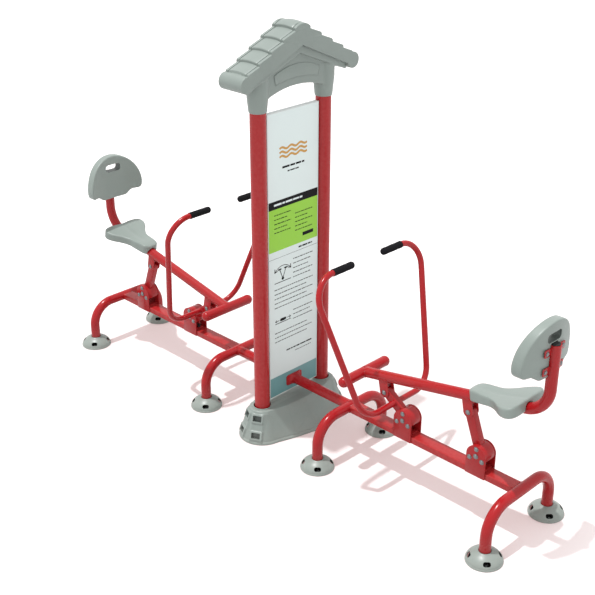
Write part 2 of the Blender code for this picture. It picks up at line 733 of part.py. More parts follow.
def foot_cover():
    """Domed cover over a leg's foot plate, with four round-cornered windows. Its centre is the tube's."""
    neck = clear_radius(LEG_TUBE_RADIUS, SEAT_GAP, FOOT_SIDES)
    crown = neck + FOOT_NECK_WIDTH

    def dome(radius, height, base):
        quarter = [math.pi / 2 * step / FOOT_DOME_STEPS for step in range(FOOT_DOME_STEPS + 1)]
        reach, rise = radius - crown, height - base
        return [(crown + reach * math.cos(a), base + rise * math.sin(a)) for a in quarter]

    outer = [(FOOT_RADIUS, 0)] + dome(FOOT_RADIUS - FOOT_RIM_STEP, FOOT_HEIGHT, FOOT_RIM_HEIGHT)
    roof = FOOT_HEIGHT - FOOT_WALL
    skirt = FOOT_RADIUS - FOOT_RIM_STEP - FOOT_WALL
    inner = [(skirt, 0), (skirt, FOOT_RIM_HEIGHT)]
    profile = outer + [(neck, FOOT_HEIGHT), (neck, roof)] + list(reversed(inner))
    cover = turned(profile, FOOT_SIDES, hollow=True)
    across, upward = FOOT_WINDOW_WIDTH / 2, FOOT_WINDOW_HEIGHT / 2
    opening = ((-across, -upward), (across, -upward), (across, upward), (-across, upward))
    middle = (crown + FOOT_RADIUS) / 2 + FOOT_WALL
    windows = []
    for index in range(FOOT_WINDOW_COUNT):
        window = prism(opening, "y", -FOOT_WALL - OVERRUN, OVERRUN)
        turn = Matrix.Rotation(math.tau * (index + 0.5) / FOOT_WINDOW_COUNT, 4, "Z")
        lean = Matrix.Rotation(FOOT_WINDOW_TILT, 4, "X")
        window.transform(turn @ Matrix.Translation((0, middle, FOOT_HEIGHT / 2 + FOOT_WALL)) @ lean)
        windows.append(window)
    return cut(cover, *windows)


def stub_tube():
    """Tube from the sign board to the inner leg, flared at its flange and coped at the leg."""
    start = SIGN_THICKNESS / 2 - SIGN_POCKET + SEAT_GAP
    plate = rounded_rectangle(FLANGE_HALF_WIDTH, FLANGE_HALF_HEIGHT, FLANGE_CORNER)
    angles = []
    for quarter in range(4):
        for step in range(CORNER_STEPS + 1):
            angles.append(math.pi / 2 * (quarter + (step + 0.5) / (CORNER_STEPS + 1)))
    tube = [(LEG_TUBE_RADIUS * math.cos(a), LEG_TUBE_RADIUS * math.sin(a)) for a in angles]
    stations = [(start, 0.0), (start + FLANGE_THICKNESS, 0.0)]
    for step in range(1, BEND_STEPS + 1):
        angle = math.pi / 2 * step / BEND_STEPS
        along = start + FLANGE_THICKNESS + FLARE_LENGTH * (1 - math.cos(angle))
        stations.append((along, FLARE_START_SHARE + (1 - FLARE_START_SHARE) * math.sin(angle)))
    stations.append((INNER_LEG_X - COPE_INSET, 1.0))
    rings = []
    for along, share in stations:
        ring = [(along, a + (c - a) * share, b + (d - b) * share) for (a, b), (c, d) in zip(plate, tube)]
        rings.append([(x, y, z + LEG_TOP_HEIGHT) for x, y, z in ring])
    return cut(lofted(rings), leg_cutter(INNER_LEG_X))


def leg_cutter(x):
    """Round tool that copes a tube or beam end to a leg's top."""
    radius = LEG_TUBE_RADIUS + SEAT_GAP
    profile = ((radius, -BEAM_HALF_WIDTH - OVERRUN), (radius, BEAM_HALF_WIDTH + OVERRUN))
    return turned(profile, 2 * TUBE_SIDES, axis="y", centre=(x, 0, LEG_TOP_HEIGHT))


def main_beam():
    """Flat box beam between the two legs, its ends coped to them."""
    section = rounded_rectangle(BEAM_HALF_WIDTH, BEAM_HEIGHT / 2, BEAM_CORNER)
    outline = [(a, b + LEG_TOP_HEIGHT) for a, b in section]
    beam = prism(outline, "x", INNER_LEG_X, OUTER_LEG_X)
    return cut(beam, leg_cutter(INNER_LEG_X), leg_cutter(OUTER_LEG_X))


def cross_hole(place, radius, sides=PIN_SIDES):
    """Round tool across the machine, through the axle or pin place."""
    reach = BRACKET_OUTER + OVERRUN
    profile = ((radius, -reach), (radius, reach))
    return turned(profile, sides, axis="y", centre=(place[0], 0, place[1]))


def bracket(axle):
    """Two side plates with round tops and the saddle between them on the beam."""
    x, z = axle
    bottom = BEAM_TOP - BRACKET_OVERLAP
    half = BRACKET_HALF_LENGTH
    outline = [(x + half, bottom)] + arc((x, z), half, 0, math.pi, BRACKET_ARC_STEPS) + [(x - half, bottom)]
    near = prism(outline, "y", -BRACKET_OUTER, -BRACKET_INNER)
    far = prism(outline, "y", BRACKET_INNER, BRACKET_OUTER)
    reach = BRACKET_INNER + BRACKET_PLATE / 2
    inner = BRACKET_ARC_REACH * half
    saddle = box((x - inner, -reach, SADDLE_BOTTOM), (x + inner, reach, SADDLE_TOP))
    return cut(joined(saddle, near, far), cross_hole(axle, AXLE_RADIUS + SEAT_GAP))


def domed_bolt(place, radius, half_grip):
    """A pin across the machine with a domed head on each end."""
    head = half_grip + SEAT_GAP
    rim = head + BOLT_RIM_HEIGHT
    top = head + BOLT_HEAD_HEIGHT
    side = [(radius, head), (BOLT_HEAD_RADIUS, head), (BOLT_HEAD_RADIUS, rim), (0, top)]
    profile = [(r, -along) for r, along in reversed(side)] + side
    return turned(profile, PIN_SIDES, axis="y", centre=(place[0], 0, place[1]))


def bearing(axle):
    """Sleeve that lies between the axle and a link's hub."""
    inner = clear_radius(AXLE_RADIUS, SEAT_GAP, HUB_SIDES)
    half = HUB_HALF_WIDTH
    profile = ((BEARING_RADIUS, -half), (BEARING_RADIUS, half), (inner, half), (inner, -half))
    return turned(profile, HUB_SIDES, axis="y", centre=(axle[0], 0, axle[1]), hollow=True)


def link(axle, pin, pin_gap, extra_cuts=(), arm=None):
    """Box tube from a hub on the axle to a rounded end at the pin, with the hub's web and curved guard."""
    x, z = axle
    heading = math.atan2(pin[1] - z, pin[0] - x)
    length = math.hypot(pin[0] - x, pin[1] - z)
    half = LINK_DEPTH / 2
    end = arc((length, 0), half, -math.pi / 2, math.pi / 2, LINK_END_STEPS)
    root = HUB_BORE / 2
    tube = prism([(root, -half)] + end + [(root, half)], "y", -LINK_HALF_WIDTH, LINK_HALF_WIDTH)
    tube.transform(Matrix.Translation((x, 0, z)) @ Matrix.Rotation(-heading, 4, "Y"))
    hub = turned(((HUB_RADIUS, -HUB_HALF_WIDTH), (HUB_RADIUS, HUB_HALF_WIDTH)), HUB_SIDES, axis="y", centre=(x, 0, z))
    low, high = GUARD_LOW_ANGLE, heading + GUARD_PAST_LINK
    outer = arc(axle, GUARD_RADIUS, low, high, GUARD_ARC_STEPS)
    inner = arc(axle, GUARD_RADIUS - GUARD_THICKNESS, high, low, GUARD_ARC_STEPS)
    width = BRACKET_INNER - GUARD_SIDE_GAP
    guard = prism(outer + inner, "y", -width, width)
    middle = GUARD_RADIUS - GUARD_THICKNESS / 2
    low, high = low + WEB_TRIM, high - WEB_TRIM
    rim = arc(axle, HUB_BORE + HUB_WALL / 2, high, low, GUARD_ARC_STEPS)
    web = prism(arc(axle, middle, low, high, GUARD_ARC_STEPS) + rim, "y", -GUARD_WEB / 2, GUARD_WEB / 2)
    pieces = [hub, guard, web]
    if arm:
        pieces.append(arm)
    solid = joined(tube, *pieces)
    pin_bore = clear_radius(PIN_RADIUS, pin_gap, PIN_SIDES)
    return cut(solid, cross_hole(axle, HUB_BORE, HUB_SIDES), cross_hole(pin, pin_bore), *extra_cuts)


def stop_arm(axle):
    """Short arm below the hub, which comes down on the rubber stop."""
    x, z = axle
    top = SADDLE_TOP + STOP_HEIGHT + 2 * SEAT_GAP
    root = HUB_BORE + HUB_WALL / 2
    outline = (
        (x - STOP_OFFSET - STOP_ARM_WIDTH / 2, top),
        (x - STOP_OFFSET + STOP_ARM_WIDTH / 2, top),
        (x, z - root),
        (x - root, z),
    )
    return prism(outline, "y", -STOP_ARM_THICKNESS / 2, STOP_ARM_THICKNESS / 2)


def front_stop():
    """Rubber buffer on the bracket's saddle."""
    base = SADDLE_TOP + SEAT_GAP
    profile = ((STOP_RADIUS, base), (STOP_RADIUS, base + STOP_HEIGHT))
    return turned(profile, PIN_SIDES, centre=(FRONT_AXLE[0] - STOP_OFFSET, 0, 0))


def grip_span():
    """How far from the middle the grip's open end, the handle bar's end and the grip's tip lie."""
    top = Vector((HANDLE_TOP[0], HANDLE_TOP_HALF_WIDTH, HANDLE_TOP[1]))
    bottom = Vector((HANDLE_BOTTOM[0], HANDLE_BOTTOM_HALF_WIDTH, HANDLE_BOTTOM[1]))
    half = (bottom - top).angle(Vector((0, -1, 0))) / 2
    opening = HANDLE_TOP_HALF_WIDTH - HANDLE_TOP_BEND / math.tan(half) - GRIP_TO_BEND
    tip = opening - GRIP_LENGTH
    return opening, tip + GRIP_END_CAP, tip


def handle_bar():
    """One bent bar: across through the front link, up and outward on both sides, and inward at the top."""
    x, z = HANDLE_BOTTOM
    top_x, top_z = HANDLE_TOP
    half = [
        (x, HANDLE_BOTTOM_HALF_WIDTH, z),
        (top_x, HANDLE_TOP_HALF_WIDTH, top_z),
        (top_x, grip_span()[1], top_z),
    ]
    corners = [(a, -b, c) for a, b, c in reversed(half)] + half
    radii = (HANDLE_TOP_BEND, HANDLE_BOTTOM_BEND, HANDLE_BOTTOM_BEND, HANDLE_TOP_BEND)
    path = rounded_path(corners, radii, BEND_STEPS)
    return swept(path, round_section(HANDLE_RADIUS, HANDLE_SIDES), (1, 0, 0))


def grip(sign):
    """Foam sleeve with a domed end over one end of the handle bar."""
    bore = clear_radius(HANDLE_RADIUS, SEAT_GAP, HANDLE_SIDES)
    opening, bar_end, tip = grip_span()
    dome = tip + GRIP_RADIUS
    profile = [(bore, opening), (GRIP_RADIUS, opening)]
    for step in range(CORNER_STEPS):
        angle = math.pi / 2 * step / CORNER_STEPS
        profile.append((GRIP_RADIUS * math.cos(angle), dome - GRIP_RADIUS * math.sin(angle)))
    profile += [(0, tip), (0, bar_end - SEAT_GAP), (bore, bar_end - SEAT_GAP)]
    profile = [(radius, sign * along) for radius, along in profile]
    return turned(profile, HANDLE_SIDES, axis="y", centre=(HANDLE_TOP[0], 0, HANDLE_TOP[1]), hollow=True)


def tube_height(x):
    """Height of the seat tube's axis on its sloping run."""
    return SEAT_TUBE_REFERENCE[1] + math.tan(SEAT_TUBE_SLOPE) * (x - SEAT_TUBE_REFERENCE[0])


def tube_frame(x):
    """Frame on the seat tube's axis whose x runs up the slope."""
    return Matrix.Translation((x, 0, tube_height(x))) @ Matrix.Rotation(-SEAT_TUBE_SLOPE, 4, "Y")


def foot_of_pin(pin):
    """Where the seat tube's axis passes square above a pin, and how far above."""
    above = (tube_height(pin[0]) - pin[1]) * math.cos(SEAT_TUBE_SLOPE)
    return pin[0] - above * math.sin(SEAT_TUBE_SLOPE), above


def fork(pin):
    """Two plates under the seat tube that hold a pin, and the web between them."""
    x, depth = foot_of_pin(pin)
    half = FORK_HALF_LENGTH
    outline = [(half, 0)] + [(-half, 0)] + arc((0, -depth), half, math.pi, math.tau, FORK_ARC_STEPS)
    outer = FORK_HALF_GAP + FORK_PLATE
    pieces = [
        prism(outline, "y", FORK_HALF_GAP, outer),
        prism(outline, "y", -outer, -FORK_HALF_GAP),
    ]
    top = -SEAT_TUBE_RADIUS + FORK_WEB_INSET
    reach = FORK_HALF_GAP + FORK_PLATE / 2
    inner = half - FORK_WEB_INSET
    pieces.append(box((-inner, -reach, top - FORK_WEB_INSET - FORK_WEB), (inner, reach, top)))
    for piece in pieces:
        piece.transform(tube_frame(x))
    return pieces


def seat_beam():
    """Bent tube from the foot rest to the back rest, with the two forks below it and the two straps behind."""
    start = REST_CENTRE_X + COPE_INSET
    corner = (SEAT_TUBE_CORNER_X, 0, tube_height(SEAT_TUBE_CORNER_X))
    corners = ((start, 0, tube_height(start)), corner, (SEAT_TUBE_CORNER_X, 0, SEAT_TUBE_TOP))
    path = rounded_path(corners, (SEAT_TUBE_BEND_RADIUS,), BEND_STEPS + 1)
    tube = swept(path, round_section(SEAT_TUBE_RADIUS, TUBE_SIDES), (0, 1, 0))
    straps = []
    for height in STRAP_HEIGHTS:
        low = (SEAT_TUBE_CORNER_X - STRAP_THICKNESS, -STRAP_HALF_WIDTH, height - STRAP_HEIGHT / 2)
        straps.append(box(low, (SEAT_TUBE_CORNER_X, STRAP_HALF_WIDTH, height + STRAP_HEIGHT / 2)))
    beam = joined(tube, *fork(FRONT_PIN), *fork(REAR_PIN), *straps)
    rest_cutter = turned(
        ((REST_RADIUS + SEAT_GAP, -2 * REST_RADIUS), (REST_RADIUS + SEAT_GAP, 2 * REST_RADIUS)),
        2 * TUBE_SIDES,
        axis="y",
        centre=(REST_CENTRE_X, 0, tube_height(REST_CENTRE_X)),
    )
    hole = PIN_RADIUS + SEAT_GAP
    return cut(beam, rest_cutter, cross_hole(FRONT_PIN, hole), cross_hole(REAR_PIN, hole))


def foot_rest():
    """Cross tube with domed ends at the front of the seat beam."""
    dome = REST_HALF_WIDTH - REST_RADIUS
    side = []
    for step in range(REST_DOME_STEPS + 1):
        angle = math.pi / 2 * step / REST_DOME_STEPS
        radius = REST_RADIUS * math.cos(angle) if step < REST_DOME_STEPS else 0
        side.append((radius, dome + REST_RADIUS * math.sin(angle)))
    profile = [(radius, -along) for radius, along in reversed(side)] + side
    centre = (REST_CENTRE_X, 0, tube_height(REST_CENTRE_X))
    return turned(profile, TUBE_SIDES, axis="y", centre=centre)


def tube_cap():
    """Plug that closes the seat beam's upper end."""
    base = SEAT_TUBE_TOP + SEAT_GAP
    rim = base + CAP_THICKNESS
    profile = ((SEAT_TUBE_RADIUS, base), (SEAT_TUBE_RADIUS, rim), (SEAT_TUBE_RADIUS - CAP_CROWN, rim + CAP_CROWN))
    return turned(profile, TUBE_SIDES, centre=(SEAT_TUBE_CORNER_X, 0, 0))


def soft_edged_plate(outline, thickness, edge, slices, step):
    """A plate in X and Y with rounded rims, sliced square to X or Y so that it can be bent without facets crossing."""
    bm = bmesh.new()
    bottom = bm.faces.new([bm.verts.new((a, b, 0)) for a, b in outline])
    raised = bmesh.ops.extrude_face_region(bm, geom=[bottom])["geom"]
    lifted = [item for item in raised if isinstance(item, bmesh.types.BMVert)]
    bmesh.ops.translate(bm, verts=lifted, vec=(0, 0, thickness))
    rims = [e for e in bm.edges if abs(e.verts[0].co.z - e.verts[1].co.z) < thickness / 2]
    bmesh.ops.bevel(
        bm,
        geom=rims,
        offset=edge,
        segments=ROUND_EDGE_STEPS,
        profile=ROUND_EDGE_SHARE,
        affect="EDGES",
    )
    for index in range(slices):
        place = step * (2 * index + 1 - slices) / 2
        geometry = bm.verts[:] + bm.edges[:] + bm.faces[:]
        near = WELD_DEPTH * SLICE_WELD_SHARE
        bmesh.ops.bisect_plane(bm, geom=geometry, plane_co=(place, 0, 0), plane_no=(1, 0, 0), dist=near)
    bmesh.ops.triangulate(bm, faces=bm.faces)
    return mesh_from(bm)


def seat():
    """Moulded saddle: narrow nose, waist, two lobes with a notch between them, and an arch below for the tube."""
    half = [(SEAT_HALF_WIDTH * b, SEAT_LENGTH * a) for a, b in SEAT_OUTLINE_SHARES]
    plan = [(b, a) for a, b in mirrored(half)]
    middle = SEAT_LENGTH / 2
    outline = [(a - middle, b) for a, b in plan]
    mesh = soft_edged_plate(outline, SEAT_THICKNESS, SEAT_EDGE, SEAT_SLICES, SEAT_LENGTH / (SEAT_SLICES + 1))
    for vertex in mesh.vertices:
        share = vertex.co.x / SEAT_LENGTH + 0.5
        height = vertex.co.z / SEAT_THICKNESS
        dip = SEAT_DISH * math.sin(math.pi * min(max(share, 0.0), 1.0)) * height
        droop = SEAT_NOSE_DROP * max(0.0, 1 - share / SEAT_NOSE_SHARE) ** 2
        sag = SEAT_SKIRT_DROP * min(max(share, 0.0), 1.0) * (1 - min(max(height, 0.0), 1.0))
        vertex.co.z -= dip + droop + sag
    bottom = SEAT_TUBE_RADIUS + SEAT_ABOVE_TUBE - SEAT_THICKNESS
    mesh.transform(tube_frame(SEAT_NOSE_X + middle) @ Matrix.Translation((0, 0, bottom)))
    radius = SEAT_TUBE_RADIUS + SEAT_GAP
    groove = turned(((radius, -middle - OVERRUN), (radius, middle + OVERRUN)), 2 * TUBE_SIDES, axis="x")
    groove.transform(tube_frame(SEAT_NOSE_X + middle))
    return cut(mesh, groove)


def back_rest():
    """Moulded back rest, hollowed towards the rower, with a hand slot and a groove behind for the upright tube."""
    height = BACK_TOP - BACK_BOTTOM
    half = [(BACK_HALF_WIDTH * a, BACK_BOTTOM + height * b) for a, b in reversed(BACK_OUTLINE_SHARES)]
    outline = mirrored(half)
    mesh = soft_edged_plate(outline, BACK_THICKNESS, BACK_EDGE, BACK_SLICES, 2 * BACK_HALF_WIDTH / (BACK_SLICES + 1))
    rear = SEAT_TUBE_CORNER_X - STRAP_THICKNESS - SEAT_GAP
    for vertex in mesh.vertices:
        across, upward, share = vertex.co.x, vertex.co.y, vertex.co.z / BACK_THICKNESS
        bow_rear = BACK_REAR_RADIUS - math.sqrt(BACK_REAR_RADIUS ** 2 - across ** 2)
        bow_front = BACK_FRONT_RADIUS - math.sqrt(BACK_FRONT_RADIUS ** 2 - across ** 2)
        depth = BACK_THICKNESS * share + bow_rear * (1 - share) + bow_front * share
        vertex.co = (rear - depth, across, upward)
    slot = prism(
        rounded_rectangle(BACK_SLOT_HALF_WIDTH, BACK_SLOT_HEIGHT / 2, BACK_SLOT_CORNER, CORNER_STEPS),
        "x",
        -BACK_THICKNESS - BACK_REAR_RADIUS / 2,
        BACK_THICKNESS,
    )
    slot.transform(Matrix.Translation((rear, 0, BACK_SLOT_LEVEL)))
    groove_profile = (
        (SEAT_TUBE_RADIUS + SEAT_GAP, BACK_BOTTOM - OVERRUN),
        (SEAT_TUBE_RADIUS + SEAT_GAP, SEAT_TUBE_TOP + CAP_THICKNESS + CAP_CROWN + 2 * SEAT_GAP),
    )
    groove = turned(groove_profile, 2 * TUBE_SIDES, centre=(SEAT_TUBE_CORNER_X, 0, 0))
    return cut(mesh, slot, groove)


def station_pieces():
    """Every piece of one station: name, mesh, finish and the joint that it turns with."""
    pieces = [
        ("stub_tube", stub_tube(), RED_PAINT, "frame"),
        ("inner_leg", leg(INNER_LEG_X), RED_PAINT, "frame"),
        ("outer_leg", leg(OUTER_LEG_X), RED_PAINT, "frame"),
        ("main_beam", main_beam(), RED_PAINT, "frame"),
        ("front_bracket", bracket(FRONT_AXLE), RED_PAINT, "frame"),
        ("rear_bracket", bracket(REAR_AXLE), RED_PAINT, "frame"),
        ("front_axle", domed_bolt(FRONT_AXLE, AXLE_RADIUS, BRACKET_OUTER), BRIGHT_STEEL, "frame"),
        ("rear_axle", domed_bolt(REAR_AXLE, AXLE_RADIUS, BRACKET_OUTER), BRIGHT_STEEL, "frame"),
        ("front_bearing", bearing(FRONT_AXLE), BRIGHT_STEEL, "frame"),
        ("rear_bearing", bearing(REAR_AXLE), BRIGHT_STEEL, "frame"),
        ("front_stop", front_stop(), BLACK_RUBBER, "frame"),
        (
            "front_link",
            link(
                FRONT_AXLE,
                FRONT_PIN,
                RUNNING_GAP,
                extra_cuts=(cross_hole(HANDLE_BOTTOM, clear_radius(HANDLE_RADIUS, SEAT_GAP, PIN_SIDES)),),
                arm=stop_arm(FRONT_AXLE),
            ),
            RED_PAINT,
            "front",
        ),
        ("handle_bar", handle_bar(), RED_PAINT, "front"),
        ("near_grip", grip(-1), BLACK_FOAM, "front"),
        ("far_grip", grip(1), BLACK_FOAM, "front"),
        ("rear_link", link(REAR_AXLE, REAR_PIN, OPEN_PIVOT_CLEARANCE), RED_PAINT, "rear"),
        ("seat_beam", seat_beam(), RED_PAINT, "seat"),
        ("foot_rest", foot_rest(), RED_PAINT, "seat"),
        ("front_pin", domed_bolt(FRONT_PIN, PIN_RADIUS, FORK_HALF_GAP + FORK_PLATE), BRIGHT_STEEL, "seat"),
        ("rear_pin", domed_bolt(REAR_PIN, PIN_RADIUS, FORK_HALF_GAP + FORK_PLATE), BRIGHT_STEEL, "seat"),
        ("seat", seat(), GREY_PLASTIC, "seat"),
        ("back_rest", back_rest(), GREY_PLASTIC, "seat"),
        ("tube_cap", tube_cap(), BLACK_RUBBER, "seat"),
    ]
    places = {
        "frame": (0, 0, 0),
        "front": (FRONT_AXLE[0], 0, FRONT_AXLE[1]),
        "rear": (REAR_AXLE[0], 0, REAR_AXLE[1]),
        "seat": (FRONT_PIN[0], 0, FRONT_PIN[1]),
    }
    for name, mesh, finish, joint in pieces:
        mesh.transform(Matrix.Translation(places[joint]).inverted())
    return pieces, places


def build_station(side, turn, pieces, places, cover):
    """One station under its own empties. The moving pieces hang on empties at their joint axes."""
    root = pivot(side + "_station", (0, 0, 0))
    root.rotation_euler.z = turn
    front = pivot(side + "_front_pivot", places["front"], root)
    rear = pivot(side + "_rear_pivot", places["rear"], root)
    offset = Vector(places["seat"]) - Vector(places["front"])
    seat_pivot = pivot(side + "_seat_pivot", offset, front)
    parents = {"frame": root, "front": front, "rear": rear, "seat": seat_pivot}
    for name, mesh, finish, joint in pieces:
        placed(side + "_" + name, mesh, finish, parents[joint])
    for row, x in (("inner", INNER_LEG_X), ("outer", OUTER_LEG_X)):
        for end, sign in (("near", -1), ("far", 1)):
            name = "_".join((side, row, end, "foot_cover"))
            placed(name, cover, GREY_PLASTIC, root, (x, sign * LEG_HALF_TRACK, 0))


def build():
    clear_scene()
    placed("near_post", post(-1), RED_PAINT)
    placed("far_post", post(1), RED_PAINT)
    placed("roof_cap", roof_cap(), GREY_PLASTIC)
    placed("sign_board", sign_board(), PALE_BOARD)
    placed("base_cover", base_cover(), GREY_PLASTIC)
    pieces, places = station_pieces()
    cover = foot_cover()
    build_station("right", 0.0, pieces, places, cover)
    build_station("left", math.pi, pieces, places, cover)


build()
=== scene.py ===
"""Looks of an outdoor rowing machine: two stations joined to a sign post with a small tiled roof.

+X runs along the machine, +Y across the sign, +Z up. Every shape is drawn for the right station
and the left station is the same shape turned half a turn about Z.
"""

import math
import random

import bmesh
import bpy
from bpy.props import FloatProperty, FloatVectorProperty, IntProperty, PointerProperty
from mathutils import Matrix, Vector


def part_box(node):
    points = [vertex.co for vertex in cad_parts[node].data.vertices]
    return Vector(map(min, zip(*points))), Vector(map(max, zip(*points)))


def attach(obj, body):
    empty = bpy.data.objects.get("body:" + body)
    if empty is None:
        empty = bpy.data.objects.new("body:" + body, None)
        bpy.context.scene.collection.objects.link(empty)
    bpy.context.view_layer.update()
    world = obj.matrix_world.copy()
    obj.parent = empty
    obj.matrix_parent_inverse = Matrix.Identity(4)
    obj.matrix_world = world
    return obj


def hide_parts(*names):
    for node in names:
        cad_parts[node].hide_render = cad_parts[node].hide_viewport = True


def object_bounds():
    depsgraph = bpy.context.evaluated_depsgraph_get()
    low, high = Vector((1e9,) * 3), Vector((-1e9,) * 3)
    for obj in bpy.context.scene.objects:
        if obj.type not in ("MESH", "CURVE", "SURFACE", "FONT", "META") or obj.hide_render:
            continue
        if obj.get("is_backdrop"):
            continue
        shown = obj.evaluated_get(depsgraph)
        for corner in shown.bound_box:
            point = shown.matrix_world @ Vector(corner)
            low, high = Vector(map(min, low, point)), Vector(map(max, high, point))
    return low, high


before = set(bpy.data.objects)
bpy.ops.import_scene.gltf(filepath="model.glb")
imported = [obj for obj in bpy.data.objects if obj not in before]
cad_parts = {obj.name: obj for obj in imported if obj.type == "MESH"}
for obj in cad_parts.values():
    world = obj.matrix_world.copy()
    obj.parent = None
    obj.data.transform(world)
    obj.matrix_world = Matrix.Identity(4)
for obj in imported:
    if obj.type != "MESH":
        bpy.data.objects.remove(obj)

bl_info = {
    "name": "Outdoor rowing machine",
    "version": (1, 0, 0),
    "blender": (4, 5, 0),
    "location": "3D View > Sidebar > Rowing machine",
    "description": "Makes the painted, moulded and printed pieces of a rowing machine on its frame",
    "category": "Object",
}

CAD_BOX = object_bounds()
POST_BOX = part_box("near_post")
GRIP_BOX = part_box("right_near_grip")
STATIONS = (("right", 0.0), ("left", math.pi))
ENDS = (("near", -1), ("far", 1))
SHARP_ANGLE = math.radians(38.0)
MOULD_ANGLE = math.radians(50.0)

# Fits: a hair between faces that touch, and how far a weld stands off its corner
HAIR = 0.0003
WELD_LIFT = 0.0004

# Voxels of the moulded pieces: roof, cover and back rest, then the seat, then what is carved
MOULD_GRAIN = 0.0034
SEAT_GRAIN = 0.0030
FINE_GRAIN = 0.0026

# Posts
POST_RADIUS = 0.0445
POST_Y = 0.247
POST_TOP = POST_BOX[1].z
POST_PLATE_SIDE = 0.130
POST_PLATE_THICKNESS = 0.012
LUG_LEVELS = (0.353, 1.076, 1.799)
LUG_SIZE = (0.012, 0.050)

# Roof
ROOF_TOP = 2.3985
ROOF_HALF_DEPTH = 0.0875
ROOF_HALF_SPAN = 0.437
EAVE_RADIUS = 0.045
EAVE_HEIGHT = 2.140
EAVE_START = math.radians(97.0)
EAVE_END = math.radians(-165.0)
EAVE_LAP = 0.003
RIDGE_HALF_WIDTH = 0.053
RIDGE_RISE = 0.018
COURSES = 4
COURSE_STEP_OUT = 0.011
COURSE_STEP_DOWN = 0.0195
EAVE_STEP = 0.008
UNDERSIDE_RIDGE = 2.281
VERGE_WIDTH = 0.021
VERGE_ROUNDING = 0.005
VERGE_SINK = 0.003
VERGE_GROOVE = 0.008
VERGE_STEPS = (
    (0.0100, -0.0010), (0.0035, 0.0), (0.0018, 0.0015), (0.0008, VERGE_GROOVE),
    (-0.0020, VERGE_GROOVE),
)
TILE_NOSE = 0.0080
TILE_ROOT = 0.0015
TILE_LIP = 0.0030
TILE_CROWN = (0.0025, 0.0060)
SOFFIT_HALF_DEPTH = 0.066
SOFFIT_DROP = 0.028
SOFFIT_LOW_RIDGE = 2.237
SOFFIT_LOW_SLOPE = 0.40
SOFFIT_END = 0.357
LINTEL_HALF_DEPTH = 0.042
ARCH_HALF_WIDTH = 0.205
ARCH_SPRING = 2.030
ARCH_RISE = 0.037
SLEEVE_BOTTOM = 1.958
SLEEVE_RADII = (0.049, 0.060)
SLEEVE_TAPER_HEIGHT = 0.110

# Bare plates on the lintel: half width, middle height, and a drop with the half width it takes
PLATE_UPPER = (0.168, 2.179, 0.039, 0.170)
PLATE_LOWER = (0.158, 2.109, 0.021, 0.167)
PLATE_SINK = 0.006
PLATE_RIM = 0.0013

# Sign
SIGN_HALF_WIDTH = 0.196
SIGN_BOTTOM = 0.215
SIGN_TOP = 1.937
SIGN_THICKNESS = 0.029
SIGN_RIM = 0.004
SIGN_POCKET = 0.0012
SHEET_GAP = 0.0004
SHEET_LIFT = 0.0001
INK_STEP = 0.00012

# Base cover
COVER_TOP = 0.190
COVER_END_RADII = (0.143, 0.076)
COVER_HALF_WIDTHS = (0.215, 0.112)
COVER_KNEE_HALF_WIDTHS = (0.182, 0.107)
COVER_KNEE = 0.142
COVER_WALL = 0.022
COVER_GAP = 0.0065
COVER_LIP = 0.014 / COVER_TOP
# Rings of the cover: share of its height, and how far they stand in
COVER_RINGS = (
    (0.0, 0.0015), (0.010, 0.0), (COVER_LIP, 0.0), (COVER_LIP + 0.004, 0.0052),
    (COVER_LIP + 0.020, 0.0052), (COVER_LIP + 0.045, 0.0026), (0.60, 0.0014), (0.93, 0.0004),
)
SLOT_TURNS = (math.radians(-27.0), math.radians(27.0))
SLOT_LEVELS = (0.052, 0.148)
SLOT_HALF = (0.027, 0.018)
SLOT_CORNER = 0.006
# Slots and facets: place out of the face, and scale or half width there
SLOT_DEPTHS = ((-0.017, 0.84), (0.0, 0.97), (0.01, 1.05))
FACET_DEPTHS = ((-0.020, 0.058), (-0.0015, 0.035))
FACET_LEVEL = 0.096
FACET_HALF_HEIGHT = 0.088

# Legs, foot covers and beam
LEG_RADIUS = 0.030
LEG_FOOT = 0.004
LEG_TOP = 0.285
LEG_BEND = 0.145
LEG_TRACK = 0.275
LEG_PLACES = (("inner", 0.478), ("outer", 1.635))
LEG_PLATE = (0.080, 0.008)
ANCHOR_RING = 0.058
ANCHOR_NUT = ((0, 0), (0.0105, 0), (0.0105, 0.0065), (0.0085, 0.0085), (0, 0.0085))
FOOT_RADIUS = 0.0967
FOOT_HEIGHT = 0.062
FOOT_NECK = 0.0322
FOOT_CROWN = FOOT_NECK + 0.006
FOOT_SKIRT = FOOT_RADIUS - 0.0022
FOOT_WALL = 0.004
FOOT_DOME = (0.64, 0.36)
FOOT_DOME_BASE = 0.0105
FOOT_DOME_TOP = FOOT_HEIGHT - 0.0012
WINDOW = (0.0195, 0.0125, 0.0105)
WINDOW_HALF_DEPTH = 0.014
WINDOW_OUT = 0.76
WINDOW_TILT = math.radians(46.0)
# Legs below this height, hidden in the foot covers, take a black finish as painted shade
PAINTED_SHADE_BELOW = FOOT_HEIGHT - 0.004
BEAM_HALF_WIDTH = 0.040
BEAM_HALF_HEIGHT = 0.020
BEAM_CORNER = 0.006
BEAM_TOP = LEG_TOP + BEAM_HALF_HEIGHT
FLANGE = (0.0625, 0.033, 0.014, 0.006)
FLARE_LENGTH = 0.030

# Joint places, across (x) and up (z)
FRONT_AXLE = (0.892, 0.386)
REAR_AXLE = (1.3815, 0.387)
FRONT_PIN = (0.741, 0.492)
REAR_PIN = (1.299, 0.607)

# Brackets, links, handle bar
BRACKET_INNER = 0.0403
BRACKET_PLATE = 0.006
BRACKET_HALF_LENGTH = 0.061
BRACKET_OVERLAP = 0.037
BOLT_RING = 0.0425
BOLT_TURNS = (90.0, 205.0, 335.0)
SADDLE_HALF_LENGTH = 0.049
WASHER = 1.16
WASHER_TOP = 0.0030
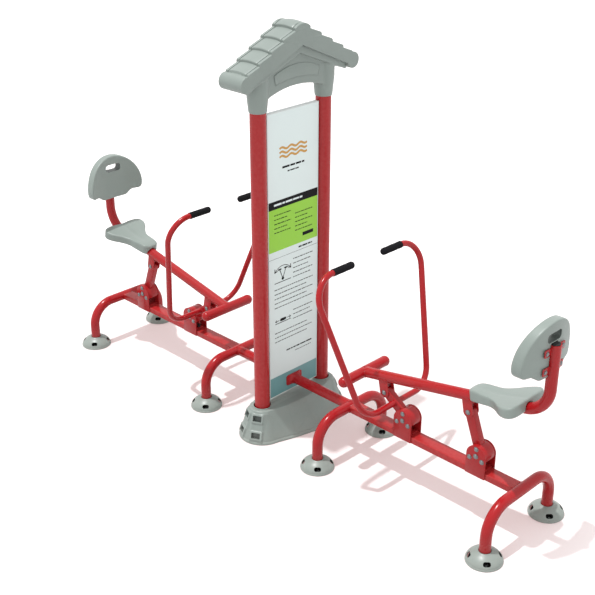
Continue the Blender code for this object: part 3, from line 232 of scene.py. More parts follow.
# Axles and pins: radius of the bar and of its caps
AXLE = (0.010, 0.0125)
PIN = (0.008, 0.0120)
HUB_RADIUS = 0.0240
HUB_HALF_WIDTH = 0.0378
GUARD_RADIUS = 0.059
GUARD_THICKNESS = 0.004
GUARD_HALF_WIDTH = 0.0388
GUARD_LOW = math.radians(-15.0)
GUARD_HIGH = math.radians(204.0)
LINK_HALF_DEPTH = 0.0265
LINK_HALF_WIDTH = 0.020
HANDLE_RADIUS = 0.017
HANDLE_BOTTOM = (0.808, 0.451)
HANDLE_BOTTOM_HALF_WIDTH = 0.269
HANDLE_TOP = (0.570, 1.232)
HANDLE_TOP_HALF_WIDTH = 0.435
HANDLE_BENDS = (0.140, 0.134)
GRIP_RADIUS = 0.020
STOP = (0.856, 0.3115, 0.026, 0.010)

# Seat beam, foot rest, seat and back rest
TUBE_RADIUS = 0.030
TUBE_REFERENCE = (0.826, 0.598)
TUBE_SLOPE = math.radians(11.5)
TUBE_CORNER_X = 1.739
TUBE_BEND = 0.155
TUBE_TOP = 1.156
FORK_HALF_GAP = 0.0213
FORK_PLATE = 0.006
FORK_HALF_LENGTH = 0.030
STRAP_LEVELS = (1.029, 1.127)
STRAP_HALF_WIDTH = 0.084
STRAP_HALF_HEIGHT = 0.020
STRAP_THICKNESS = 0.005
STRAP_BOLT_Y = 0.065
STRAP_BOLT = (0.0105, 0.0075)
STRAP_CORNER = 0.006
REST_X = 0.571
REST_RADIUS = 0.030
REST_HALF_WIDTH = 0.200
SEAT_NOSE_X = 1.303
SEAT_LENGTH = 0.343
SEAT_HALF_WIDTH = 0.152
SEAT_THICKNESS = 0.047
SEAT_ABOVE_TUBE = 0.025
SEAT_EDGES = (0.006, 0.008)
SEAT_GROOVE = TUBE_RADIUS + 0.0065
SEAT_SHARES = (
    (0.000, 0.00), (0.012, 0.20), (0.060, 0.34), (0.150, 0.385), (0.300, 0.43), (0.440, 0.47),
    (0.580, 0.63), (0.710, 0.86), (0.820, 0.985), (0.910, 0.99), (0.975, 0.87), (0.998, 0.66),
    (1.000, 0.44), (0.992, 0.22), (0.988, 0.00),
)
BACK_HALF_WIDTH = 0.203
BACK_BOTTOM = 0.985
BACK_TOP = 1.275
BACK_THICKNESS = 0.055
BACK_RADII = (0.553, 0.462)
BACK_EDGES = (0.0055, 0.009)
BACK_GROOVE = 0.0308
BACK_SLOT = (0.057, 0.0235, 0.019)
BACK_SLOT_LEVEL = 1.194
BACK_SHARES = (
    (0.000, 1.000), (0.200, 0.985), (0.400, 0.940), (0.600, 0.858), (0.780, 0.735), (0.910, 0.580),
    (0.980, 0.420), (1.000, 0.285), (0.975, 0.180), (0.900, 0.125), (0.780, 0.120), (0.640, 0.110),
    (0.540, 0.060), (0.450, 0.012), (0.330, 0.000), (0.000, 0.000),
)

# Studio
CAMERA_PLACE = (4.062, -4.031, 3.542)
CAMERA_TURN = (math.radians(90.0 - 25.5257), 0.0, math.radians(44.8957))
CAMERA_LENS = 66.26
CAMERA_SENSOR = 36.0
LAMP_PLACE = (-0.5, -0.5, 4.0)
FLOOR_REACH = 40
FLOOR_LEVEL = -0.0005
FLOOR_FADE = (1.55, 2.30)

DUST = (0.33, 0.27, 0.23, 1.0)
PALE_DUST = (0.40, 0.37, 0.33, 1.0)
BARE_EDGE = (0.62, 0.16, 0.14, 1.0)


def size_property(name, description, default):
    return FloatProperty(name=name, description=description, default=default, unit="LENGTH")


def colour_property(name, description, default):
    return FloatVectorProperty(
        name=name, description=description, default=default, subtype="COLOR", min=0, max=1
    )


class MachineSizes(bpy.types.PropertyGroup):
    tube_sides: IntProperty(
        name="Tube sides", description="Sides of each round tube", default=56, min=12
    )
    bend_steps: IntProperty(
        name="Bend steps", description="Steps of each tube bend", default=20, min=4
    )
    edge: size_property("Plate edge", "Rounding of cut steel edges", 0.0012)
    bolt_radius: size_property("Bolt head", "Radius of a domed bolt cap", 0.0118)
    bolt_height: size_property("Bolt dome", "Height of a domed bolt cap", 0.0085)
    weld: size_property("Weld bead", "Radius of a weld bead", 0.0030)
    seat_dish: size_property("Seat dish", "Depth of the seat's hollow", 0.007)
    frame_rise: size_property("Lintel plates", "Height of the bare plates on the lintel", 0.0025)


class MachineColours(bpy.types.PropertyGroup):
    red: colour_property("Red paint", "Gloss powder coat of the steel tubes", (0.335, 0.0065, 0.0095))
    grey: colour_property("Grey plastic", "Plastic of roof, seats and covers", (0.225, 0.262, 0.242))
    board: colour_property("Board", "Composite board behind the printed sheets", (0.60, 0.64, 0.63))
    sheet: colour_property("Sheet", "Ground colour of the printed sheets", (0.66, 0.745, 0.735))
    black_ink: colour_property("Black ink", "Band, rows and signs of a sheet", (0.008, 0.008, 0.009))
    lime_ink: colour_property("Lime ink", "Block in the middle of a sheet", (0.255, 0.56, 0.016))
    teal_ink: colour_property("Teal ink", "Band at the foot of a sheet", (0.13, 0.29, 0.30))
    orange_ink: colour_property("Orange ink", "Waves at the head of a sheet", (0.50, 0.25, 0.035))
    foam: colour_property("Foam", "Hand grips", (0.007, 0.007, 0.008))
    rubber: colour_property("Rubber", "Caps and stops", (0.014, 0.014, 0.014))
    steel: colour_property("Bright steel", "Zinc plated bolts and sleeves", (0.215, 0.225, 0.23))


class StudioSettings(bpy.types.PropertyGroup):
    key: FloatProperty(name="Key lamp", description="Strength of the lamp above", default=2.7, min=0)
    key_spread: FloatProperty(
        name="Key lamp spread", description="Angle the lamp fills", default=0.022, subtype="ANGLE"
    )
    key_lean: FloatVectorProperty(
        name="Key lamp lean", description="Run of its rays along x and y for each metre down",
        default=(0.168, 0.152), size=2
    )
    sky: FloatProperty(
        name="Sky", description="Strength of the light from all round", default=1.05, min=0
    )
    floor: colour_property("Floor", "Colour of the plain floor", (0.60, 0.60, 0.60))
    floor_tint: colour_property("Floor tint", "Glow that its shadows show", (0.25, 0.135, 0.13))
    far_tint: colour_property("Far tint", "Glow away from the machine", (0.46, 0.40, 0.40))


def sizes():
    return bpy.context.scene.rower_sizes


def colours():
    return bpy.context.scene.rower_colours


# Plain geometry


def mesh_from(bm, outward=True):
    """A mesh whose faces look outward, or as they were drawn. It uses the bmesh up."""
    if outward:
        bmesh.ops.recalc_face_normals(bm, faces=bm.faces)
    mesh = bpy.data.meshes.new("shape")
    bm.to_mesh(mesh)
    bm.free()
    return mesh


def gathered(*meshes):
    """One mesh from several. Each may be a mesh or a pair of mesh and finish number."""
    bm = bmesh.new()
    for item in meshes:
        mesh, finish = item if isinstance(item, tuple) else (item, 0)
        first = len(bm.faces)
        bm.from_mesh(mesh)
        bm.faces.ensure_lookup_table()
        if isinstance(item, tuple):
            for face in bm.faces[first:]:
                face.material_index = finish
    return mesh_from(bm, outward=False)


def placed(mesh, matrix):
    """The mesh itself, put in its place."""
    mesh.transform(matrix)
    return mesh


def moved(mesh, matrix):
    """A copy of the mesh in another place."""
    return placed(mesh.copy(), matrix)


def lofted(rings, closed=False):
    """A surface through rings that hold the same number of points."""
    bm = bmesh.new()
    rows = [[bm.verts.new(point) for point in ring] for ring in rings]
    pairs = list(zip(rows, rows[1:]))
    if closed:
        pairs.append((rows[-1], rows[0]))
    for row, following in pairs:
        for index in range(len(row)):
            after = (index + 1) % len(row)
            bm.faces.new((row[index], row[after], following[after], following[index]))
    if not closed:
        bm.faces.new(rows[0])
        bm.faces.new(rows[-1])
    return mesh_from(bm)


def softened(mesh, edge, steps=2, angle=SHARP_ANGLE):
    """The mesh with its sharp edges rounded."""
    bm = bmesh.new()
    bm.from_mesh(mesh)
    sharp = [e for e in bm.edges if len(e.link_faces) == 2 and e.calc_face_angle(0.0) > angle]
    bmesh.ops.bevel(
        bm, geom=sharp, offset=edge, segments=steps, profile=0.5, affect="EDGES", clamp_overlap=True
    )
    return mesh_from(bm)


def on_axis(axis, a, b, along):
    """The point at a and b across an axis and some way along it."""
    return {"x": (along, a, b), "y": (a, along, b), "z": (a, b, along)}[axis]


def prism(outline, axis, low, high, edge=0.0, steps=2):
    """An outline drawn square to an axis, extruded along it, with its rims rounded."""
    mesh = lofted([[on_axis(axis, a, b, along) for a, b in outline] for along in (low, high)])
    return softened(mesh, edge, steps) if edge else mesh


def corners_of(low, high):
    """The four corners of an upright rectangle, anticlockwise."""
    return ((low[0], low[1]), (high[0], low[1]), (high[0], high[1]), (low[0], high[1]))


def box(low, high, edge=0.0):
    """A block between two corners, with its edges rounded."""
    return prism(corners_of(low, high), "z", low[2], high[2], edge)


def turned(profile, sides=64, axis="z", centre=(0, 0, 0), hollow=False):
    """A profile of radii and places along an axis, turned about it. A hollow one closes up."""
    bm = bmesh.new()
    rows = []
    for radius, along in profile:
        if radius < 1e-6:
            rows.append([bm.verts.new((0, 0, along))])
            continue
        angles = [math.tau * step / sides for step in range(sides)]
        ring = [(radius * math.cos(a), radius * math.sin(a), along) for a in angles]
        rows.append([bm.verts.new(point) for point in ring])
    pairs = list(zip(rows, rows[1:]))
    if hollow:
        pairs.append((rows[-1], rows[0]))
    for row, following in pairs:
        if len(row) == len(following) == 1:
            continue
        for index in range(sides):
            after = (index + 1) % sides
            corners = [row[index % len(row)], row[after % len(row)]]
            corners += [following[after % len(following)], following[index % len(following)]]
            bm.faces.new(list(dict.fromkeys(corners)))
    if not hollow:
        for row in (rows[0], rows[-1]):
            if len(row) > 1:
                bm.faces.new(row)
    turn = Matrix.Rotation(-math.pi / 2, 4, "X") if axis == "y" else Matrix()
    return placed(mesh_from(bm), Matrix.Translation(centre) @ turn)


def filleted(points, radii, steps=4, closed=False):
    """A line in a plane whose corners are rounded, by one radius or a radius for each point."""
    count = len(points)
    if not isinstance(radii, (list, tuple)):
        radii = [radii] * count
    line = []
    for index, (point, radius) in enumerate(zip(points, radii)):
        here = Vector(point)
        if radius <= 0 or (not closed and index in (0, count - 1)):
            line.append(tuple(here))
            continue
        back = Vector(points[index - 1]) - here
        ahead = Vector(points[(index + 1) % count]) - here
        longest = 0.49 * min(back.length, ahead.length)
        back.normalize()
        ahead.normalize()
        half = back.angle(ahead) / 2
        reach = min(radius / math.tan(half), longest)
        centre = here + (back + ahead).normalized() * reach / math.cos(half)
        start = here + back * reach - centre
        finish = here + ahead * reach - centre
        turn = math.copysign(math.pi - 2 * half, start.x * finish.y - start.y * finish.x)
        for step in range(steps + 1):
            angle = turn * step / steps
            across = start.x * math.cos(angle) - start.y * math.sin(angle)
            upward = start.x * math.sin(angle) + start.y * math.cos(angle)
            line.append((centre.x + across, centre.y + upward))
    return line


def quarter(steps, first=0):
    """The angles of a quarter turn in even steps."""
    return [math.pi / 2 * step / steps for step in range(first, steps + 1)]


def arc(centre, radius, start, end, steps):
    """Points round part of a circle."""
    angles = [start + (end - start) * step / steps for step in range(steps + 1)]
    return [(centre[0] + radius * math.cos(a), centre[1] + radius * math.sin(a)) for a in angles]


def circle(radius, sides):
    return arc((0, 0), radius, 0, math.tau, sides)[:-1]


def rounded_rectangle(half_width, half_height, corner, steps=6):
    w, h = half_width, half_height
    return filleted([(w, h), (-w, h), (-w, -h), (w, -h)], corner, steps, closed=True)


def inset(outline, distance):
    """The anticlockwise outline moved inward by a distance."""
    line = []
    for index, point in enumerate(outline):
        here = Vector(point)
        arriving = (here - Vector(outline[index - 1])).normalized()
        leaving = (Vector(outline[(index + 1) % len(outline)]) - here).normalized()
        first = Vector((-arriving.y, arriving.x))
        middle = (first + Vector((-leaving.y, leaving.x))).normalized()
        line.append(tuple(here + middle * distance / max(middle.dot(first), 0.5)))
    return line


def mirrored(half):
    """A closed outline from its right half, whose first and last points lie on the middle line."""
    return list(half) + [(-a, b) for a, b in reversed(half[1:-1])]


def flowing(points, steps=6):
    """A closed smooth curve through the points of a plan."""
    count = len(points)
    line = []
    for index in range(count):
        p = [Vector(points[(index + shift) % count]) for shift in (-1, 0, 1, 2)]
        for step in range(steps):
            t = step / steps
            line.append(tuple(0.5 * (
                2 * p[1] + (p[2] - p[0]) * t
                + (2 * p[0] - 5 * p[1] + 4 * p[2] - p[3]) * t * t
                + (3 * p[1] - p[0] - 3 * p[2] + p[3]) * t * t * t
            )))
    return line


def rounded_path(corners, radii, steps):
    """Straight runs joined by arcs: one radius for each inner corner."""
    path = [Vector(corners[0])]
    for index, radius in enumerate(radii, start=1):
        corner = Vector(corners[index])
        back = (Vector(corners[index - 1]) - corner).normalized()
        ahead = (Vector(corners[index + 1]) - corner).normalized()
        half = back.angle(ahead) / 2
        centre = corner + (back + ahead).normalized() * radius / math.sin(half)
        spoke = corner + back * radius / math.tan(half) - centre
        axle = ahead.cross(back).normalized()
        for step in range(steps + 1):
            turn = Matrix.Rotation((math.pi - 2 * half) * step / steps, 3, axle)
            path.append(centre + turn @ spoke)
    path.append(Vector(corners[-1]))
    return path


def swept(path, radius, sides, closed=False):
    """A round bar along a path. The radius may be a list with a value for each point."""
    count = len(path)
    radii = radius if isinstance(radius, list) else [radius] * count
    path = [Vector(point) for point in path]
    across = None
    rings = []
    for index, point in enumerate(path):
        before = path[index - 1] if closed or index else point
        after = path[(index + 1) % count] if closed or index < count - 1 else point
        along = (after - before).normalized()
        if across is None:
            across = along.orthogonal()
        across = (across - along * across.dot(along)).normalized()
        upward = along.cross(across)
        angles = [math.tau * (step + 0.5) / sides for step in range(sides)]
        spokes = [across * math.cos(a) + upward * math.sin(a) for a in angles]
        rings.append([point + spoke * radii[index] for spoke in spokes])
    return lofted(rings, closed=closed)


def weld(points, closed=True):
    """A painted weld bead with its ripples along a line of points."""
    points = [Vector(point) for point in points]
    if closed:
        points.append(points[0].copy())
    lengths = [0.0]
    for before, after in zip(points, points[1:]):
        lengths.append(lengths[-1] + (after - before).length)
    count = max(8, int(lengths[-1] / 0.0011))
    line = []
    segment = 0
    for step in range(count if closed else count + 1):
        distance = lengths[-1] * step / count
        while segment < len(points) - 2 and lengths[segment + 1] < distance:
            segment += 1
        span = max(lengths[segment + 1] - lengths[segment], 1e-9)
        line.append(points[segment].lerp(points[segment + 1], (distance - lengths[segment]) / span))
    ripples = max(3, round(lengths[-1] / 0.0036))
    bead = sizes().weld
    waves = [math.sin(math.tau * ripples * step / count) for step in range(len(line))]
    radii = [bead * (1.0 + 0.13 * wave) for wave in waves]
    if not closed:
        radii[0] = radii[-1] = bead * 0.4
    return swept(line, radii, 8, closed=closed)


def ring_weld(centre, radius, axis):
    """A weld round a bar that passes through a face."""
    return weld([Vector(centre) + Vector(on_axis(axis, a, b, 0)) for a, b in circle(radius, 48)])


def reworked(mesh, *steps):
    """The mesh after modifiers, each given as its type and its settings."""
    holder = bpy.data.objects.new("holder", mesh)
    bpy.context.scene.collection.objects.link(holder)
    for kind, settings in steps:
        modifier = holder.modifiers.new(kind, kind)
        for name, value in settings.items():
            setattr(modifier, name, value)
    evaluated = holder.evaluated_get(bpy.context.evaluated_depsgraph_get())
    result = bpy.data.meshes.new_from_object(evaluated)
    bpy.data.objects.remove(holder, do_unlink=True)
    return result


def carved(mesh, *tools):
    """The mesh after each tool is cut from it."""
    for tool in tools:
        cutter = bpy.data.objects.new("cutter", tool)
        bpy.context.scene.collection.objects.link(cutter)
        cut = {"operation": "DIFFERENCE", "solver": "EXACT", "object": cutter}
        mesh = reworked(mesh, ("BOOLEAN", cut))
        bpy.data.objects.remove(cutter, do_unlink=True)
    return mesh


def shade_recesses(mesh, mouths, half_width, half_height, corner, reach=0.0015):
    """Give the second finish, a darker grey that is painted shade, to what lies inside each mouth, a
    frame whose y runs out of it.
    """
    for mouth in mouths:
        inward = mouth.inverted()
        for face in mesh.polygons:
            spot = inward @ face.center
            across = max(abs(spot.x) - half_width + corner, 0.0)
            upward = max(abs(spot.z) - half_height + corner, 0.0)
            out = math.hypot(across, upward) - corner
            facing = abs((inward.to_3x3() @ face.normal).y)
            if -0.08 < spot.y < 0.003 and (out < -0.0010 or (out < reach and facing < 0.7)):
                face.material_index = 1


def moulded(mesh, grain, passes, kept=1.0):
    """The closed mesh as one even skin with soft edges, as a mould gives it."""
    steps = [
        ("REMESH", {"mode": "VOXEL", "voxel_size": grain, "adaptivity": 0.0}),
        ("SMOOTH", {"factor": 0.5, "iterations": passes}),
    ]
    if kept < 1.0:
        steps.append(("DECIMATE", {"decimate_type": "COLLAPSE", "ratio": kept}))
    return reworked(mesh, *steps)


# Finishes


class Wire:
    """A socket in a tree of nodes, with plain sums on it."""

    def __init__(self, tree, socket):
        self.tree = tree
        self.socket = socket

    def maths(self, operation, *values):
        return self.tree.node("ShaderNodeMath", {"operation": operation}, dict(enumerate(values)))

    def __add__(self, other):
        return self.maths("ADD", self, other)

    def __radd__(self, other):
        return self.maths("ADD", other, self)

    def __sub__(self, other):
        return self.maths("SUBTRACT", self, other)

    def __rsub__(self, other):
        return self.maths("SUBTRACT", other, self)

    def __mul__(self, other):
        return self.maths("MULTIPLY", self, other)

    def __rmul__(self, other):
        return self.maths("MULTIPLY", other, self)

    def __truediv__(self, other):
        return self.maths("DIVIDE", self, other)

    def __rtruediv__(self, other):
        return self.maths("DIVIDE", other, self)

    def limited(self):
        """The value held between 0 and 1."""
        return self.tree.node("ShaderNodeClamp", {}, {0: self})


class Tree:
    """A tree of nodes, with one way to add a node: its kind, its settings and its sockets."""

    def __init__(self, tree):
        self.nodes = tree.nodes
        self.links = tree.links

    def give(self, socket, value):
        if isinstance(value, Wire):
            self.links.new(value.socket, socket)
        else:
            socket.default_value = value

    def node(self, kind, settings, values, output=0):
        node = self.nodes.new(kind)
        for name, value in settings.items():
            setattr(node, name, value)
        for socket, value in values.items():
            self.give(node.inputs[socket], value)
        return Wire(self, node.outputs[output])

    def mix(self, share, first, second):
        values = {0: share, 6: first, 7: second}
        return self.node("ShaderNodeMix", {"data_type": "RGBA"}, values, 2)


class Finish(Tree):
    """A material on one Principled shader, with short ways to vary it."""

    def __init__(self, name, **constants):
        self.look = bpy.data.materials.new(name)
        self.look.use_nodes = True
        super().__init__(self.look.node_tree)
        self.feed(**constants)

    def place(self):
        return self.node("ShaderNodeTexCoord", {}, {}, "Object")

    def noise(self, scale, detail=2.0):
        values = {"Vector": self.place(), "Scale": scale, "Detail": detail}
        return self.node("ShaderNodeTexNoise", {}, values)

    def cells(self, scale, output):
        values = {"Vector": self.place(), "Scale": scale}
        return self.node("ShaderNodeTexVoronoi", {"feature": "F1"}, values, output)

    def edges(self):
        """How far a spot lies on an outward edge: 0.5 is flat."""
        return self.node("ShaderNodeNewGeometry", {}, {}, "Pointiness")

    def below(self, level, steepness):
        """A share that grows from nothing at a level to one somewhere below it."""
        height = self.node("ShaderNodeSeparateXYZ", {}, {0: self.place()}, "Z")
        return ((level - height) * steepness).limited()

    def bump(self, height, strength, distance):
        values = {"Strength": strength, "Distance": distance, "Height": height}
        return self.node("ShaderNodeBump", {}, values)

    def feed(self, **values):
        """Give values or links to the shader's sockets."""
        shader = self.nodes["Principled BSDF"]
        for name, value in values.items():
            socket = name.replace("_", " ").title().replace("Ior", "IOR")
            self.give(shader.inputs[socket], value)
        return self.look


def shade(colour, factor):
    return tuple(min(1.0, part * factor) for part in tuple(colour)[:3]) + (1.0,)


def red_paint():
    """Gloss powder coat: faint orange peel, slow drift in tone, rubbed edges and dust low down."""
    finish = Finish("red_powder_coat", specular_ior_level=0.33)
    red = colours().red
    drift = finish.noise(5.0, 3.0)
    tone = finish.mix(drift, shade(red, 0.95), shade(red, 1.04))
    rubbed = ((finish.edges() - 0.53) * 9.0 * finish.noise(60.0)).limited() * 0.35
    tone = finish.mix(rubbed, tone, BARE_EDGE)
    dust = finish.below(0.16, 7.0) * finish.noise(34.0, 4.0) * 0.22
    return finish.feed(
        base_color=finish.mix(dust, tone, DUST),
        roughness=0.17 + 0.12 * finish.noise(28.0, 3.0) + dust,
        normal=finish.bump(finish.noise(420.0), 0.06, 0.0003),
    )


def grey_plastic(name="grey_moulded_plastic", depth=1.0):
    """Moulded plastic: pebble grain, slow drift in tone, lighter rubbed edges, and painted shade in
    hollows.
    """
    finish = Finish(name, specular_ior_level=0.42)
    # A depth under 1 darkens the whole grey; the slot insides use it as painted shade
    grey = [part * depth for part in colours().grey]
    speckle = finish.noise(7.0, 4.0) * 0.6 + finish.noise(330.0) * 0.4
    tone = finish.mix(speckle, shade(grey, 0.90), shade(grey, 1.10))
    edges = finish.edges()
    tone = finish.mix(((edges - 0.515) * 9.0).limited() * 0.30, tone, shade(grey, 1.45))
    # Painted shade: concave spots, such as creases, hollows and the roots of the tile noses, go
    # darker
    tone = finish.mix(((0.488 - edges) * 12.0).limited() * 0.45, tone, shade(grey, 0.50))
    dust = finish.below(0.10, 11.0) * finish.noise(30.0, 4.0) * 0.30
    return finish.feed(
        base_color=finish.mix(dust, tone, PALE_DUST),
        roughness=0.29 + 0.14 * finish.noise(40.0, 3.0),
        normal=finish.bump(finish.noise(520.0, 3.0), 0.16, 0.0005),
    )


def board_core():
    """Pale composite board with a faint cloudiness and saw marks across its cut edges."""
    finish = Finish("pale_board", specular_ior_level=0.5)
    board = colours().board
    marks = {"Scale": 160.0, "Distortion": 2.0}
    saw = finish.node("ShaderNodeTexWave", {"bands_direction": "Z"}, marks)
    return finish.feed(
        base_color=finish.mix(finish.noise(14.0, 4.0), shade(board, 0.94), shade(board, 1.04)),
        roughness=0.34 + 0.1 * finish.noise(60.0),
        normal=finish.bump(saw, 0.05, 0.0002),
    )


def printed(name, ink, gradient=0.0, gloss=0.5, coat=0.3):
    """Printed film: even ink with a fine dot grain, slightly darker towards the bottom, and a satin
    laminate.
    """
    finish = Finish(name, specular_ior_level=gloss, coat_weight=coat, coat_roughness=0.22)
    grain = finish.noise(900.0) * 0.5 + finish.noise(3.0, 3.0) * 0.5
    tone = finish.mix(grain, shade(ink, 0.96), shade(ink, 1.04))
    # The ground grows slightly darker towards the bottom of the sign
    return finish.feed(
        base_color=finish.mix(finish.below(1.4, 0.9) * gradient, tone, shade(ink, 0.5)),
        roughness=0.36 + 0.08 * finish.noise(22.0),
        normal=finish.bump(finish.noise(300.0), 0.04, 0.0002),
    )


def black_foam():
    """Closed-cell foam: fine pores and a greyer, drier bloom on them."""
    finish = Finish("black_foam", specular_ior_level=0.06)
    foam = colours().foam
    pores = finish.cells(620.0, "Distance")
    return finish.feed(
        base_color=finish.mix(pores, shade(foam, 0.7), shade(foam, 2.4)),
        roughness=0.72 + 0.2 * finish.noise(90.0),
        normal=finish.bump(pores, 0.35, 0.0006),
    )


def black_rubber():
    """Moulded rubber with a faint grey bloom."""
    finish = Finish("black_rubber", specular_ior_level=0.35)
    rubber = colours().rubber
    return finish.feed(
        base_color=finish.mix(finish.noise(40.0, 4.0), shade(rubber, 0.8), shade(rubber, 2.0)),
        roughness=0.62 + 0.2 * finish.noise(70.0),
        normal=finish.bump(finish.noise(500.0), 0.15, 0.0003),
    )


def bright_steel():
    """Zinc plated steel: small spangle, fine turning marks and dulled patches."""
    finish = Finish("bright_steel")
    steel = colours().steel
    dull = finish.noise(120.0, 3.0)
    patches = finish.mix(0.25, dull, finish.cells(240.0, "Color"))
    return finish.feed(
        base_color=finish.mix(patches, shade(steel, 0.75), shade(steel, 1.35)),
        metallic=1.0 - 0.25 * dull,
        roughness=0.24 + 0.24 * dull,
        normal=finish.bump(finish.noise(800.0), 0.08, 0.0002),
    )


FINISHES = {}


def finish(name):
    """The finish with that name, made when it is first asked for."""
    inks = colours()
    makers = {
        "red_paint": red_paint,
        "grey_plastic": grey_plastic,
        # Painted shade: a darker copy of the grey plastic for the insides of slots and pockets
        "grey_painted_shade": lambda: grey_plastic("grey_moulded_painted_shade", 0.42),
        "pale_board": board_core,
        "black_foam": black_foam,
        "black_rubber": black_rubber,
        "bright_steel": bright_steel,
        "sheet_ground": lambda: printed("sheet_ground", inks.sheet, 0.14),
        "black_ink": lambda: printed("black_ink", inks.black_ink, gloss=0.08, coat=0.0),
        "lime_ink": lambda: printed("lime_ink", inks.lime_ink),
        "teal_ink": lambda: printed("teal_ink", inks.teal_ink),
        "orange_ink": lambda: printed("orange_ink", inks.orange_ink),
    }
    if name not in FINISHES:
        FINISHES[name] = makers[name]()
    return FINISHES[name]


def show(name, mesh, finishes, body, node=None, slot=None):
    """One visible piece: its finishes, its body and the CAD node it stands for. Its slot is not used.
    """
    finishes = finishes if isinstance(finishes, tuple) else (finishes,)
    mesh.name = name
    for item in finishes:
        mesh.materials.append(finish(item))
    mesh.shade_smooth()
    mesh.set_sharp_from_angle(angle=SHARP_ANGLE)
    piece = bpy.data.objects.new(name, mesh)
    bpy.context.scene.collection.objects.link(piece)
    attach(piece, body)
    if node:
        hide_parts(node)
    slot or finishes[0]


def show_station(name, mesh, finishes, body, node=None, slot=None):
    """The same piece on both stations."""
    for side, turn in STATIONS:
        place = body if body == "frame" else side + "_" + body
        stands_for = side + "_" + node if node else None
        copy = moved(mesh, Matrix.Rotation(turn, 4, "Z"))
        show(side + "_" + name, copy, finishes, place, stands_for, slot)


def recoat(node, name, edge=0.0):
    """A CAD node that keeps its shape gets its finish, and a fine rounding of its edges."""
    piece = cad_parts[node]
    if not piece.data.materials:
        piece.data.materials.append(finish(name))
    for slot in piece.material_slots:
        slot.material = finish(name)
    if edge:
        rim = piece.modifiers.new("rim", "BEVEL")
        rim.width = edge
        rim.segments = 2
        rim.limit_method = "ANGLE"
        rim.angle_limit = SHARP_ANGLE


# Shared middle


def post_shape(sign):
    """A post with its foot plate, its weld and the lugs that hold the sign board."""
    y = sign * POST_Y
    half = POST_PLATE_SIDE / 2
    profile = [
        (0, 0.004), (POST_RADIUS, 0.004), (POST_RADIUS, POST_TOP - 0.002),
        (POST_RADIUS - 0.002, POST_TOP), (0, POST_TOP),
    ]
    parts = [
        turned(profile, 96, centre=(0, y, 0)),
        box((-half, y - half, 0), (half, y + half, POST_PLATE_THICKNESS), 0.0015),
        ring_weld((0, y, POST_PLATE_THICKNESS), POST_RADIUS, "z"),
    ]
    tips = (sign * (SIGN_HALF_WIDTH + 0.0005), sign * (POST_Y - POST_RADIUS + 0.003))
    across, up = LUG_SIZE[0] / 2, LUG_SIZE[1] / 2
    for level in LUG_LEVELS:
        low, high = (-across, min(tips), level - up), (across, max(tips), level + up)
        parts.append(box(low, high, 0.001))
    return gathered(*parts)


def eave_line():
    """The round eave of the roof's right half, from its top round to the underside."""
    centre = (ROOF_HALF_SPAN - EAVE_RADIUS, EAVE_HEIGHT)
    return arc(centre, EAVE_RADIUS, EAVE_START, EAVE_END, 30)


def tile_line():
    """Right half of the roof's top: the ridge and the stepped courses, whose noses lip over."""
    radius = (RIDGE_HALF_WIDTH ** 2 + RIDGE_RISE ** 2) / (2 * RIDGE_RISE)
    reach = math.asin(RIDGE_HALF_WIDTH / radius)
    top = arc((0, ROOF_TOP - radius), radius, math.pi / 2, math.pi / 2 - reach, 8)
    top[-1] = (top[-1][0] + TILE_LIP, top[-1][1] - TILE_LIP / 2)
    rounding = [0.0] * 8 + [TILE_NOSE]
    pitch = (ROOF_HALF_SPAN - EAVE_RADIUS - RIDGE_HALF_WIDTH) / COURSES
    drop = (ROOF_TOP - RIDGE_RISE - EAVE_HEIGHT - EAVE_RADIUS - EAVE_STEP) / COURSES
    tilt = (drop - COURSE_STEP_DOWN) / (pitch - COURSE_STEP_OUT)
    eave = eave_line()[0]
    across = RIDGE_HALF_WIDTH + COURSE_STEP_OUT
    height = ROOF_TOP - RIDGE_RISE - COURSE_STEP_DOWN
    for course in range(COURSES):
        top.append((across - COURSE_STEP_OUT, height + COURSE_STEP_OUT * tilt))
        last = course == COURSES - 1
        run = eave[0] - across - EAVE_LAP if last else pitch - COURSE_STEP_OUT + TILE_LIP
        top.append((across + run, height - run * tilt))
        rounding += [TILE_ROOT, TILE_NOSE * 0.6 if last else TILE_NOSE]
        across += pitch
        height -= drop
    return filleted(top + [eave], rounding + [0.0], 5)


def full_section(tiles, lower=0.0, trim=0.0):
    """The whole section, anticlockwise, with its top lowered or its whole rim drawn in."""
    centre = Vector((ROOF_HALF_SPAN - EAVE_RADIUS, EAVE_HEIGHT))
    kept = 1 - trim / EAVE_RADIUS
    drawn = [tuple(centre + (Vector(point) - centre) * kept) for point in eave_line()[1:]]
    line = [(a, b - lower - trim) for a, b in tiles] + drawn + [(0, UNDERSIDE_RIDGE + trim)]
    return [(-a, b) for a, b in mirrored(line)]


def roof_slopes():
    """The tiled slopes: crowned courses between two verges, parted from them by grooves."""
    tiles = tile_line()
    groove = ROOF_HALF_DEPTH - VERGE_WIDTH
    rings = []
    for angle in quarter(6):
        x = ROOF_HALF_DEPTH - VERGE_ROUNDING * (1 - math.cos(angle))
        trim = VERGE_ROUNDING * (1 - math.sin(angle))
        rings.append((x, full_section(tiles, VERGE_SINK, trim)))
    for out, lower in VERGE_STEPS:
        rings.append((groove + out, full_section(tiles, VERGE_SINK + lower)))
    for step in range(12):
        share = 1 - step / 11
        lower = TILE_CROWN[0] - TILE_CROWN[1] * (1 - share ** 2) + 0.002 * (step == 0)
        rings.append(((groove - 0.0030) * share, full_section(tiles, lower)))
    rings += [(-x, outline) for x, outline in reversed(rings[:-1])]
    return lofted([[(x, a, b) for a, b in outline] for x, outline in rings])


